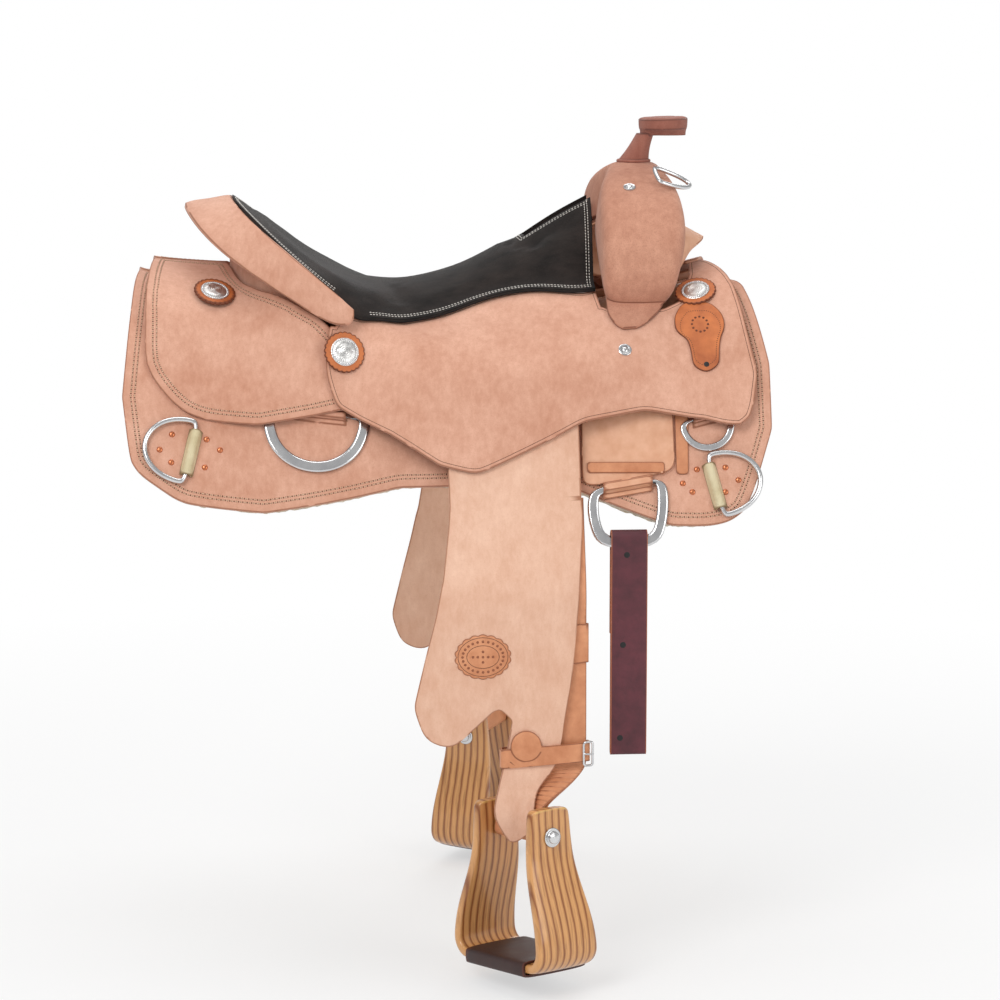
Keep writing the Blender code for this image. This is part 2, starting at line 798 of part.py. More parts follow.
def pad_high(u, v):
    low = pad_low(u, v)
    rim = min(1.0, (1.0 - u) / 0.04, u / 0.05 if abs(v) < 1.0 else 1.0)
    crown = PAD_THICK - 0.003 * v * v
    if abs(v) > 1.0:
        crown = PAD_EDGE * 0.7
    elif abs(v) == 1.0:
        crown = PAD_EDGE + 0.0015
    thick = mix(PAD_EDGE, crown, max(rim, 0.0)) if abs(v) <= 1.0 else crown
    return low + Vector((0, 0, thick))


PAD_COLUMNS = [-1.05] + SEAT_COLUMNS + [1.05]
make("seat_pad", seat_solid(pad_high, pad_low, PAD_COLUMNS, seat_rows()), SUEDE, smooth=True)

# Cantle and its roll

WALL_END = 0.85
ROLL_END = [1.015, 1.025]
ROLL_ROUND = 0.16
ROLL_NARROW = 0.30


def cantle_wall():
    rings = []
    for v in SEAT_COLUMNS:
        if abs(v) > WALL_END:
            continue
        inner, outer = arc_spot(v, WALL_INSIDE), arc_spot(v, wall_out(v))
        top = seam_z(arc_spot(v).x) - PAD_THICK - 0.0004
        foot_in = layer_z(inner.x, inner.y, BAR_TOP) + WALL_FOOT
        foot_out = layer_z(outer.x, outer.y, BAR_TOP) + WALL_FOOT
        rings.append([
            Vector((inner.x, inner.y, top - WALL_DROP)), Vector((outer.x, outer.y, top)),
            Vector((outer.x, outer.y, foot_out)), Vector((inner.x, inner.y, foot_in)),
        ])
    return loft(rings)


def roll():
    rings = []
    for v in [-v for v in reversed(ROLL_END)] + SEAT_COLUMNS + ROLL_END:
        tilt = roll_tilt(v)
        short = max(0.0, (abs(v) - ROLL_END[-1] + ROLL_ROUND) / ROLL_ROUND)
        wide = ROLL_WIDE * (1.0 - ROLL_NARROW * v * v)
        wide *= 0.10 + 0.90 * math.sqrt(max(0.0, 1.0 - 0.97 * short * short))
        seam = seam_z(arc_spot(v).x) - ROLL_WIDE * 0.04 * short * short
        down = Vector((math.cos(tilt), -math.sin(tilt)))
        inward = Vector((-math.sin(tilt), -math.cos(tilt)))
        start = Vector((ROLL_START + ROLL_THICK * math.sin(tilt), seam))
        thick = ROLL_THICK * (1.0 - 0.35 * short ** 3)
        shape = [
            (0.0, 0.15), (0.10, 0.0), (0.45, 0.10), (0.80, -0.05), (0.97, 0.12), (1.0, 0.5),
            (0.95, 0.95), (0.55, 1.0), (0.05, 1.0), (0.0, 0.85),
        ]
        ring = []
        for a, b in shape:
            spot = start + down * (a * wide) + inward * (b * thick)
            plan = arc_spot(v, spot.x)
            ring.append(Vector((plan.x, plan.y, spot.y)))
        rings.append(ring)
    return loft(rings)


make("cantle_back", cantle_wall(), ROUGHOUT)
make("cantle_roll", roll(), ROUGHOUT, smooth=True)

# Fork of the tree, its cover and the gullet cover

# Each station: outer and inner half width and height, rear and front x
FORK = [
    (0.101, None, 0.070, None, 0.186, 0.215),
    (0.111, 0.027, 0.077, 0.037, 0.172, 0.232),
    (0.126, 0.047, 0.079, 0.050, 0.168, 0.238),
    (0.132, 0.072, 0.075, 0.064, 0.166, 0.243),
    (0.123, 0.101, 0.064, 0.080, 0.165, 0.248),
    (0.099, 0.130, 0.047, 0.094, 0.165, 0.248),
    (0.066, 0.151, 0.027, 0.103, 0.168, 0.244),
    (0.030, 0.163, 0.012, 0.107, 0.1760, 0.238),
    (0.000, FORK_TOP_Z, 0.000, 0.108, 0.182, 0.235),
]
FOOT_CLEAR = 0.0030


def fork_stations():
    half = []
    for out_y, out_z, in_y, in_z, rear, front in FORK:
        middle = (rear + front) / 2.0
        if out_z is None:
            high_x = max(abs(rear), abs(front))
            out_z = layer_z(high_x, out_y, BAR_TOP) + FOOT_CLEAR
            in_z = layer_z(high_x, in_y, BAR_TOP) + FOOT_CLEAR
        half.append((Vector((middle, -out_y, out_z)), Vector((middle, -in_y, in_z)), rear, front))
    other = []
    for outer, inner, rear, front in reversed(half[:-1]):
        flip = Vector((1, -1, 1))
        other.append((outer * flip, inner * flip, rear, front))
    ring = half + other
    finer = [ring[0]]
    for k in range(1, len(ring)):
        if 1 < k < len(ring) - 1:
            near = zip(ring[k - 2], ring[k - 1], ring[k], ring[k + 1])
            finer.append(tuple((b + c) * 0.5625 - (a + d) * 0.0625 for a, b, c, d in near))
        finer.append(ring[k])
    return finer


def offset_line(line, by):
    """Moves an open line sideways by equal distance, to its left."""
    moved = []
    for k, here in enumerate(line):
        here = Vector(here)
        normals = []
        if k > 0:
            run = (here - Vector(line[k - 1])).normalized()
            normals.append(Vector((-run.y, run.x)))
        if k < len(line) - 1:
            run = (Vector(line[k + 1]) - here).normalized()
            normals.append(Vector((-run.y, run.x)))
        a, b = normals[0], normals[-1]
        moved.append(here + (a + b) / (1.0 + a.dot(b)) * by)
    return moved


def fork_section(rear, front, deep):
    """Open line over the fork's rear, outer and front faces, in (x, height off the inner face)."""
    soft = min(0.012, 0.4 * deep)
    return [
        (rear, 0.0), (rear, deep - soft), (rear + 0.3 * soft, deep - 0.3 * soft), (rear + soft, deep),
        (front - soft, deep), (front - 0.3 * soft, deep - 0.3 * soft), (front, deep - soft), (front, 0.0),
    ]


def fork_ring(station, line):
    outer, inner, _, _ = station
    up = (outer - inner).normalized()
    return [Vector((x, inner.y, inner.z)) + up * q for x, q in line]


def fork_wood():
    rings = []
    for station in fork_stations():
        outer, inner, rear, front = station
        rings.append(fork_ring(station, fork_section(rear, front, (outer - inner).length)))
    return loft(rings)


def tab_ring(s, rear, front, side):
    """Ring of the cover's tongue where it lies on the seat jockey."""
    ends = [(0.0, 0.6), (0.0025, 0.95), (0.007, 1.0), (0.014, 1.0)]
    tight = min(1.0, (front - rear) / 0.040)
    outer, inner = [], []
    for x, share in [(rear + tight * a, b) for a, b in ends] + [(front - tight * a, b) for a, b in reversed(ends)]:
        outer.append(jockey_top(side, x, s, TAB_SEAT + share * COVER_THICK))
        inner.append(jockey_top(side, x, s, TAB_SEAT))
    return outer + list(reversed(inner))


TAB_SEAT = 0.0009
TAB = [(0.1275, 0.181, 0.196), (0.1235, 0.174, 0.206), (0.117, 0.169, 0.215), (0.110, 0.166, 0.223)]


# Share of the fork's depth that its cover leaves bare front and rear, by height
COVER_EDGE = [(0.037, 0.80), (0.050, 0.45), (0.064, 0.20), (0.080, 0.10)]


def fork_skin():
    stations = fork_stations()[1:-1]
    arch = []
    for station in stations:
        outer, inner, rear, front = station
        line = fork_section(rear, front, (outer - inner).length)
        start = line[1][1] * along(COVER_EDGE, inner.z)
        line[0] = (rear, start)
        line[-1] = (front, start)
        outside = offset_line(line, COVER_GAP + COVER_THICK)
        inside = offset_line(line, COVER_GAP)
        arch.append(fork_ring(station, outside) + list(reversed(fork_ring(station, inside))))
    right = [tab_ring(s, rear, front, -1) for s, rear, front in TAB]
    left = [tab_ring(s, rear, front, 1) for s, rear, front in reversed(TAB)]
    for share in (0.2, 0.5):
        right.append([a.lerp(b, share) for a, b in zip(right[len(TAB) - 1], arch[0])])
        left.insert(0, [a.lerp(b, share) for a, b in zip(left[-len(TAB)], arch[-1])])
    return loft(right + arch + left)


LIP_REACH = [(0.060, 0.002), (0.08, 0.008), (0.095, 0.024), (0.105, 0.034)]


def gullet_skin():
    rings = []
    for station in fork_stations()[1:-1]:
        outer, inner, rear, front = station
        reach = along(LIP_REACH, inner.z)
        past = front + COVER_GAP + COVER_THICK + GAP
        low = -COVER_GAP - GULLET_THICK
        line = [
            (rear - 0.003, -COVER_GAP), (past, -COVER_GAP), (past, 0.006), (past + GULLET_THICK, 0.004),
            (past + GULLET_THICK + reach, -0.006 - reach * 0.35),
            (past + GULLET_THICK + reach, -0.0085 - reach * 0.35), (past, low), (rear - 0.003, low),
        ]
        rings.append(fork_ring(station, line))
    return loft(rings)


make("tree_fork", fork_wood(), ROUGHOUT, smooth=True)
make("fork_cover", fork_skin(), ROUGHOUT, smooth=True)
make("gullet_cover", gullet_skin(), TAN, smooth=True)

# Horn

HORN_FOOT_Z = FORK_TOP_Z + COVER_GAP + COVER_THICK + GAP


def oval(x, z, half_long, half_wide, steps=14, tilt=0.0):
    ring = []
    for k in range(steps):
        a = 2.0 * math.pi * k / steps
        dx = half_long * math.cos(a)
        ring.append(Vector((x + dx, half_wide * math.sin(a), z + dx * tilt)))
    return ring


neck_stops = [
    (0.0, HORN_BASE * 1.05, HORN_BASE), (0.25, HORN_BASE * 0.86, HORN_BASE * 0.92),
    (0.6, HORN_WAIST, HORN_WAIST * 1.2), (1.0, HORN_WAIST * 0.85, HORN_WAIST * 1.35),
]
neck = []
for part, half_long, half_wide in neck_stops:
    neck_z = mix(HORN_FOOT_Z, HORN_TOP_Z, part)
    neck.append(oval(FORK_X + HORN_LEAN * part, neck_z, half_long, half_wide))
horn = make("horn", loft(neck), ROUGHOUT, smooth=True)

cap_x = FORK_X + HORN_LEAN + CAP_AHEAD
cap_stops = [
    (0.0, 0.93, 0.55), (0.30, 0.94, 0.80), (0.36, 0.98, 0.96), (0.62, 1.0, 1.0), (0.90, 1.0, 1.0), (1.0, 0.90, 0.90),
]
cap = []
for part, long_share, wide_share in cap_stops:
    cap_z = HORN_TOP_Z - 0.002 + CAP_THICK * part
    cap.append(oval(cap_x, cap_z, CAP_LONG * long_share, CAP_WIDE * wide_share, 18, 0.03 * part))
union(horn, make("cap", loft(cap), ROUGHOUT, smooth=True))

# Fork loop: a steel loop on the near front of the fork

LOOP_HALF = 0.014
LOOP_DEEP = 0.044
LOOP_ROD = 0.0024
LOOP_SPOT = Vector((0.2236, -0.0760, 0.1609))
LOOP_BAR = Vector((0.14, -0.80, -0.53)).normalized()
LOOP_DOWN = Vector((0.66, -0.58, -0.68))


def rod_section(radius, sides=6):
    turn = math.pi / sides
    return [(radius * math.cos(2 * math.pi * k / sides + turn), radius * math.sin(2 * math.pi * k / sides + turn))
            for k in range(sides)]


def dee_path(half, deep, corner=0.004, steps=9):
    """Straight bar on the first axis, then a bow that reaches deep on the second axis."""
    path = [(-half + corner, 0.0), (half - corner, 0.0), (half, corner)]
    for k in range(1, steps):
        a = math.pi * k / steps
        path.append((half * math.cos(a), corner + (deep - corner) * math.sin(a) ** 0.9))
    path.append((-half, corner))
    return path


loop_down = (LOOP_DOWN - LOOP_BAR * LOOP_DOWN.dot(LOOP_BAR)).normalized()
loop_off = LOOP_BAR.cross(loop_down)
loop_frame = (LOOP_SPOT, LOOP_BAR, loop_down, loop_off)
loop_path = dee_path(LOOP_HALF, LOOP_DEEP, 0.003, 7)
make("fork_loop", frame_sweep(loop_path, lambda k: rod_section(LOOP_ROD), loop_frame), STEEL, LOOP_SPOT, True)

# Small dees at the skirt corners, each under a keeper

SMALL_DEES = [
    ("rear", -0.280, 0.266, -1),
    ("front", 0.272, 0.3065, 1),
]
SMALL_DEE_CLEAR = 0.0009


def keeper(name, frame, bar_h, long, finish):
    """Arch of leather over a bar: feet on the skirt, open at both ends."""
    origin, ahead, down, off = frame
    inner = ROD_R + 0.0005
    outer = inner + KEEPER_WALL
    floor = -bar_h + 0.0004
    arch = []
    for k in range(7):
        a = math.pi * k / 6.0
        arch.append((-outer * math.cos(a), outer * math.sin(a)))
    arch += [(outer + 0.002, floor), (inner, floor)]
    for k in range(7):
        a = math.pi * (6 - k) / 6.0
        arch.append((-inner * math.cos(a), inner * math.sin(a)))
    arch += [(-inner, floor), (-outer - 0.002, floor)]
    rings = []
    for end in (-0.5, 0.5):
        rings.append([origin + ahead * a + off * b + down * (end * long) for a, b in arch])
    return make(name, loft(rings), finish)


for tag, side in SIDES:
    for place, x, s, reach in SMALL_DEES:
        bar_h = ROD_R + SMALL_DEE_CLEAR
        frame = flank_frame(side, x, s, SKIRT_THICK + bar_h)
        origin, ahead, down, off = frame
        keeper(f"{place}_ring_keeper_{tag}", frame, bar_h, KEEPER_LONG, CREAM)
        dee_frame = (origin, down, ahead * reach, off)
        path = dee_path(SMALL_DEE_HALF, SMALL_DEE_DEEP)
        solid = frame_sweep(path, lambda k: rod_section(ROD_R), dee_frame)
        make(f"{place}_ring_{tag}", solid, STEEL, origin, True)

# Flat plate dees. The top bar is narrow enough to turn in its arch


def plate_section(bar, wide, thick):
    def section(k):
        half = (bar if k < 2 else wide) / 2.0
        return [(-half, -thick / 2), (half, -thick / 2), (half, thick / 2), (-half, thick / 2)]

    return section


def tilted(frame, far):
    """Turns a frame about its first axis so that its second axis points at a place."""
    origin, ahead, _, off = frame
    down = far - origin
    down = (down - ahead * down.dot(ahead)).normalized()
    new_off = ahead.cross(down)
    if new_off.dot(off) < 0:
        new_off.negate()
    return origin, ahead, down, new_off


def rigging_path():
    """The dee hangs plumb from a bar that follows the rise of the skirt towards the front."""
    deep = RIG_END_S - RIG_BAR_S
    half = RIG_HALF
    lean = RIG_X / ROCKER
    side_line = [(half - 0.006, 0.0), (half, 0.008), (half, 0.45 * deep), (0.90 * half, 0.72 * deep), (0.72 * half, deep)]
    path = side_line + [(-a, b) for a, b in reversed(side_line)]
    path = [path[-1]] + path[:-1]
    return [(a - lean * b, b + lean * a * b / deep) for a, b in path]


for tag, side in SIDES:
    frame = flank_frame(side, RIG_X, RIG_BAR_S, RIG_BAR_H)
    far = on_flank(side, RIG_X, RIG_END_S, RIG_END_H)
    frame = tilted(frame, far)
    section = plate_section(RIG_BAR, PLATE_WIDE, PLATE_THICK)
    make(f"rigging_dee_{tag}", frame_sweep(rigging_path(), section, frame), STEEL, frame[0])
    for place, x, s, half, deep, wide in (
        ("flank", FLANK_DEE_X, FLANK_DEE_S, FLANK_DEE_HALF, FLANK_DEE_DEEP, PLATE_WIDE),
        ("breast", BREAST_DEE_X, BREAST_DEE_S, BREAST_DEE_HALF, BREAST_DEE_DEEP, 0.0068),
    ):
        frame = flank_frame(side, x, s, SKIRT_THICK + DEE_SEAT)
        far = on_flank(side, x, s + deep, SKIRT_THICK + DEE_SEAT + 0.0004)
        frame = tilted(frame, far)
        section = plate_section(THIN_BAR, wide, THIN_PLATE)
        solid = frame_sweep(dee_path(half, deep, 0.006, 9), section, frame)
        make(f"{place}_dee_{tag}", solid, STEEL, frame[0])

# Rigging plates on the skirts, with the arches that hold the dee bars


def box_arch(side, x, s, half_long, half_wide, floor, top, wall, foot):
    """A strap over a dee's bar, glued down at both feet, open at both ends."""
    line = [
        (-half_wide - foot, floor), (-half_wide - foot, floor + wall), (-half_wide - wall, floor + wall),
        (-half_wide, top + wall), (half_wide, top + wall), (half_wide + wall, floor + wall),
        (half_wide + foot, floor + wall), (half_wide + foot, floor), (half_wide, floor),
        (half_wide - 0.0006, top), (-half_wide + 0.0006, top), (-half_wide, floor),
    ]
    rings = []
    for end in (-1.0, 0.0, 1.0):
        place = x + end * half_long
        rings.append([on_flank(side, place, s + a, h) for a, h in line])
    return loft(rings)


PLATE = [
    (0.1415, 0.142, 0.002), (0.1415, 0.193, 0.004), (0.1340, 0.206, 0.004), (0.1320, 0.2795, 0.012),
    (0.2310, 0.2795, 0.012), (0.2310, 0.142, 0.004),
]
PLATE_H = 0.0089

for tag, side in SIDES:
    plate = flank_panel(
        f"rigging_plate_{tag}", side, PLATE, lambda x, s: FLANK_LEVEL, lambda x, s: PLATE_H, TAN)
    strap = box_arch(side, RIG_X, RIG_BAR_S, RIG_ARCH_HALF, 0.0038, FLANK_LEVEL + 0.0003, 0.0130, 0.0024, 0.0075)
    arch = make("arch", strap, TAN)
    union(plate, arch)

# Keepers for the flank dees and the breast dees, glued on the skirts

for tag, side in SIDES:
    skirt = bpy.data.objects[f"skirt_{tag}"]
    for x, s, half in ((FLANK_DEE_X, FLANK_DEE_S, 0.030), (BREAST_DEE_X, BREAST_DEE_S, 0.012)):
        strip = box_arch(side, x, s, half, 0.0032, SKIRT_THICK - 0.0004, DEE_ARCH_TOP, 0.0010, 0.0060)
        union(skirt, make("arch", strip, ROUGHOUT))

# Fender, stirrup leather and hobble strap hang in their own plane


def hang_rib(flared):
    start, run, _ = straight_run()
    top = start - run * (0.29 - PIVOT_S)
    angles = [SIDE_SLOPE] * 1 + [mix(SIDE_SLOPE, HANG_ANGLE, k / 4.0) for k in range(1, 4)]
    ends = [BEND_T - 0.012, BEND_T - 0.004, BEND_T + 0.004, BEND_T + 0.012]
    if flared:
        angles += [HANG_ANGLE, mix(HANG_ANGLE, FLARE_ANGLE, 0.5), FLARE_ANGLE]
        ends += [FLARE_T, FLARE_T + 0.02, 0.56]
    else:
        angles += [HANG_ANGLE]
        ends += [0.56]
    stations = [-0.04]
    points = [top - run * 0.04]
    here = top
    t = 0.0
    for end, angle in zip(ends, angles):
        here = here + Vector((math.cos(angle), -math.sin(angle))) * (end - t)
        t = end
        stations.append(t)
        points.append(here)
    return Rib(stations, points)


FENDER_RIB = hang_rib(True)
STRAP_RIB = hang_rib(False)
X_RISE = FENDER_X / ROCKER


def on_fender(side, u, t, n, rib=FENDER_RIB):
    spot = rib.at(t, n)
    return Vector((FENDER_X + u, side * spot.x, spot.y + rocker(FENDER_X) + X_RISE * u))


def strap_shift(t):
    return mix(STRAP_U, STRAP_END_U, ease((t - TWIST_T) / (TWIST_END_T - TWIST_T)))


def twist_at(t):
    return TWIST * ease((t - TWIST_T) / (TWIST_END_T - TWIST_T))


def strap_outside(u, t):
    """Level of the turning strap's outer face under a place of the fender's lobe."""
    turn = twist_at(t)
    half = mix(PLY_GAP / 2.0 + PLY, STRAP_EYE_R + PLY, ease((t - BOLT_T + 0.026) / 0.020))
    return STRAP_MID_N + (u - strap_shift(t)) * math.tan(turn) + half / math.cos(turn)


def lobe_turn(u, t):
    """How far the fender's front lobe is pushed out by the turning stirrup leather."""
    if t < TWIST_T:
        return 0.0
    flare = on_fender(1, u, t, FENDER_N).y - on_fender(1, u, t, FENDER_N, STRAP_RIB).y
    return max(0.0, strap_outside(u, t) + LOBE_CLEAR - FENDER_N - flare)


FENDER_TOP = [
    (-0.060, 0.006, 0.02), (-0.091, 0.055, 0.03), (-0.090, FLEX_T, 0.0), (0.049, FLEX_T, 0.0),
    (0.049, 0.060, 0.03), (0.058, 0.006, 0.003),
]
FENDER_LOW = [
    (-0.090, FLEX_T + GAP, 0.0), (-0.092, 0.165, 0.05), (-0.099, 0.220, 0.08), (-0.116, 0.285, 0.08),
    (-0.131, 0.345, 0.03), (-0.119, 0.382, 0.03), (-0.090, 0.392, 0.02), (-0.042, 0.352, 0.008),
    (-0.027, 0.368, 0.008), (-0.0345, 0.405, 0.03), (-0.049, 0.468, 0.03), (-0.030, 0.503, 0.02),
    (-0.010, 0.490, 0.015), (-0.004, 0.450, 0.04), (0.020, 0.418, 0.04), (0.036, 0.325, 0.08),
    (0.044, 0.240, 0.10),
    (0.050, 0.165, 0.10), (0.049, FLEX_T + GAP, 0.0),
]
U_LINES = [-0.10, -0.05, -0.038, -0.026, -0.013, 0.0, STRAP_U - STRAP_WIDE / 2.0, STRAP_U + STRAP_WIDE / 2.0]
T_LINES = FENDER_RIB.stations[1:-1] + [0.19, 0.30, 0.35, 0.375, 0.427, 0.446, 0.455, 0.464, 0.473, 0.482]


def fender_low(u, t):
    return FENDER_N + lobe_turn(u, t)


def fender_high(u, t):
    return FENDER_N + FENDER_THICK + lobe_turn(u, t)


def top_low(u, t):
    left, right = STRAP_U - STRAP_WIDE / 2.0, STRAP_U + STRAP_WIDE / 2.0
    stops = [(left - 0.0006, FENDER_N), (left, TOP_N), (right, TOP_N), (right + 0.0006, FENDER_N)]
    return along(stops, u)


def strap_spot(side, t, a, q):
    """Place in the hanging strap: a across its width, q off its middle."""
    u = strap_shift(t)
    n = mix(LEATHER_N - PLY_GAP / 2.0, STRAP_MID_N, ease((t - BEND_T + 0.012) / 0.040))
    turn = twist_at(t)
    u += a * math.cos(turn) - q * math.sin(turn)
    n += a * math.sin(turn) + q * math.cos(turn)
    return on_fender(side, u, t, n, STRAP_RIB)


def strap_solid(side):
    half = STRAP_WIDE / 2.0
    inner_q = PLY_GAP / 2.0
    mid_q = inner_q + PLY / 2.0
    loop_q = STRAP_EYE_R + PLY / 2.0
    down = [FLEX_T + GAP, 0.19] + STRAP_RIB.stations[1:-1] + [BEND_T + 0.028, 0.33]
    down += [mix(TWIST_T, TWIST_END_T, k / 12.0) for k in range(13)]
    path = [(t, mid_q) for t in down]
    path += [(BOLT_T - 0.013, mix(mid_q, loop_q, 0.35)), (BOLT_T - 0.006, mix(mid_q, loop_q, 0.85))]
    rings = []
    for t, q in path:
        low, high = q - PLY / 2, q + PLY / 2
        rings.append([(t, -half, low), (t, half, low), (t, half, high), (t, -half, high)])
    for k in range(9):
        angle = math.pi * k / 8.0
        ring = []
        for a, r in ((-half, -1), (half, -1), (half, 1), (-half, 1)):
            radius = loop_q + r * PLY / 2.0
            ring.append((BOLT_T + radius * math.sin(angle), a, radius * math.cos(angle)))
        rings.append(ring)
    for t, q in reversed(path):
        if t < INNER_END_T:
            break
        low, high = PLY / 2 - q, -q - PLY / 2
        rings.append([(t, -half, low), (t, half, low), (t, half, high), (t, -half, high)])
    bent = []
    for ring in rings:
        bent.append([strap_spot(side, t, a, q) for t, a, q in ring])
    bm = loft(bent)
    # Both plies fold along the same slant, so that they don't meet where they turn
    lean = {vert: t + a for vert, (t, a, _) in zip(bm.verts, [spot for ring in rings for spot in ring])}
    for face in [face for face in bm.faces if len(face.verts) == 4]:
        corners = list(face.verts)
        first = min(range(4), key=lambda k: lean[corners[k]])
        bmesh.utils.face_split(face, corners[first], corners[first - 2])
    return bm


def band(side, t0, t1, u0, u1, n0, n1, wall, bevel=0.003):
    """A leather loop round a strap: closed in the u, n section, long from t0 to t1."""
    rings = []
    grown = []
    for spread in (0.0, wall):
        a, b, c, d = u0 - spread, u1 + spread, n0 - spread, n1 + spread
        r = bevel if spread else 0.0003
        grown.append([
            (a, c + r), (a + r, c), (b - r, c), (b, c + r), (b, d - r), (b - r, d), (a + r, d), (a, d - r)])
    for inner, outer in zip(*grown):
        rings.append([
            on_fender(side, *spot, rib=STRAP_RIB) for spot in (
                (inner[0], t0, inner[1]), (outer[0], t0, outer[1]),
                (outer[0], t1, outer[1]), (inner[0], t1, inner[1]))])
    return loft(rings, closed=True)


for tag, side in SIDES:

    def hang_place(u, t, n, side=side):
        return on_fender(side, u, t, n)

    pivot = on_fender(side, PIVOT_U, 0.0, LEATHER_N)
    flex = on_fender(side, 0.0, FLEX_T, FENDER_N + FENDER_THICK)
    top = sheet(
        round_corners(FENDER_TOP, 3), top_low, lambda u, t: FENDER_N + FENDER_THICK, hang_place,
        [0.05, 0.10], [STRAP_U - STRAP_WIDE / 2 - 0.0006, STRAP_U - STRAP_WIDE / 2, STRAP_U + STRAP_WIDE / 2,
                       STRAP_U + STRAP_WIDE / 2 + 0.0006])
    make(f"fender_top_{tag}", top, ROUGHOUT, pivot)
    low = sheet(round_corners(FENDER_LOW, 3), fender_low, fender_high, hang_place, T_LINES, U_LINES)
    make(f"fender_{tag}", low, ROUGHOUT, flex)
    make(f"stirrup_leather_{tag}", strap_solid(side), TAN, flex)
    u0, u1 = STRAP_U - STRAP_WIDE / 2, STRAP_U + STRAP_WIDE / 2
    stack = PLY_GAP / 2.0 + PLY
    n0, n1 = STRAP_MID_N - stack - GAP, STRAP_MID_N + stack + GAP
    sleeve = band(side, SLEEVE_T, SLEEVE_T + SLEEVE_LONG, u0 - GAP, u1 + GAP, n0, n1, SLEEVE_WALL)
    spot = on_fender(side, STRAP_U, SLEEVE_T + SLEEVE_LONG / 2, STRAP_MID_N, STRAP_RIB)
    make(f"sleeve_{tag}", sleeve, TAN, spot)
    hobble = band(
        side, HOBBLE_T, HOBBLE_T + HOBBLE_WIDE, HOBBLE_REAR_U, u1 + 2 * GAP, n0,
        FENDER_N + FENDER_THICK + GAP, HOBBLE_THICK)
    hobble = make(f"hobble_strap_{tag}", hobble, TAN, flex)
    n = FENDER_N + FENDER_THICK + GAP + 0.0001
    centre = on_fender(side, HOBBLE_DISC_U, HOBBLE_T - 0.002, n, STRAP_RIB)
    outward = on_fender(side, HOBBLE_DISC_U, HOBBLE_T - 0.002, n + 0.01, STRAP_RIB) - centre
    disc = turned([(0.0, 0.0), (0.0, HOBBLE_DISC_R), (0.0026, HOBBLE_DISC_R), (0.0034, HOBBLE_DISC_R - 0.002),
                   (0.0034, 0.0)], centre, outward, 20)
    union(hobble, make("disc", disc, TAN))

# Stirrups


def stirrup_axes(side):
    centre = strap_spot(side, BOLT_T, 0.0, 0.0)
    across = (strap_spot(side, BOLT_T, 0.01, 0.0) - strap_spot(side, BOLT_T, -0.01, 0.0)).normalized()
    down = on_fender(side, 0.0, 0.5, 0.0, STRAP_RIB) - on_fender(side, 0.0, 0.49, 0.0, STRAP_RIB)
    down = (down - across * down.dot(across)).normalized()
    deep = across.cross(down).normalized()
    return centre, across, down, deep


LEG_TOP = [(0.0, 1.0), (0.13, 0.5), (0.5, 0.13), (1.0, 0.0)]


def leg_line():
    """Middle line of one half of the stirrup, from the top of a leg to the middle of the foot bar."""
    half = LEG_THICK / 2.0
    neck, bell, floor = NECK_HALF + half, BELL_HALF + half, FOOT_DOWN + half
    radius = bell - TREAD_HALF - 0.002
    line = [(neck, LEG_TOP_ROUND * share - LEG_ABOVE) for share, _ in LEG_TOP] + [(neck, 0.013)]
    for k in range(1, 6):
        line.append((mix(neck, bell, ease(k / 5.0)), mix(0.013, floor - radius, k / 5.0)))
    for k in range(1, 5):
        angle = math.pi / 2.0 * k / 4.0
        line.append((bell - radius + radius * math.cos(angle), floor - radius + radius * math.sin(angle)))
    return line


def stirrup_frame(side):
    centre, across, down, deep = stirrup_axes(side)
    half = leg_line()
    line = half + [(-a, b) for a, b in reversed(half)]
    inner = offset_line(line, -LEG_THICK / 2.0)
    outer = offset_line(line, LEG_THICK / 2.0)
    rings = []
    for (a, b), low, high in zip(line, inner, outer):
        broad = mix(NECK_BROAD, FOOT_BROAD, ease((b + LEG_ABOVE) / (FOOT_DOWN + LEG_ABOVE))) / 2.0
        broad -= LEG_TOP_ROUND * along(LEG_TOP, (b + LEG_ABOVE) / LEG_TOP_ROUND)
        soft = 0.0025
        ring = []
        for share, wide in (
            (0.0, -broad + soft), (0.0, broad - soft), (0.2, broad), (0.8, broad),
            (1.0, broad - soft), (1.0, -broad + soft), (0.8, -broad), (0.2, -broad),
        ):
            spot = low.lerp(high, share)
            ring.append(centre + across * spot.x + down * spot.y + deep * wide)
        rings.append(ring)
    return loft(rings)


def tread(side):
    centre, across, down, deep = stirrup_axes(side)
    rings = []
    loops = []
    for grow in (0.0004, 0.0004 + TREAD_THICK):
        wide = FOOT_BROAD / 2.0 + grow
        top, low = FOOT_DOWN - grow, FOOT_DOWN + LEG_THICK + grow
        r = 0.0006 + 0.6 * grow
        loops.append([
            (-wide, top + r), (-wide + r, top), (wide - r, top), (wide, top + r),
            (wide, low - r), (wide - r, low), (-wide + r, low), (-wide, low - r)])
    for inside, outside in zip(*loops):
        rings.append([
            centre + across * end + deep * d + down * z for end, (d, z) in (
                (-TREAD_HALF, inside), (-TREAD_HALF, outside), (TREAD_HALF, outside), (TREAD_HALF, inside))])
    return loft(rings, closed=True)


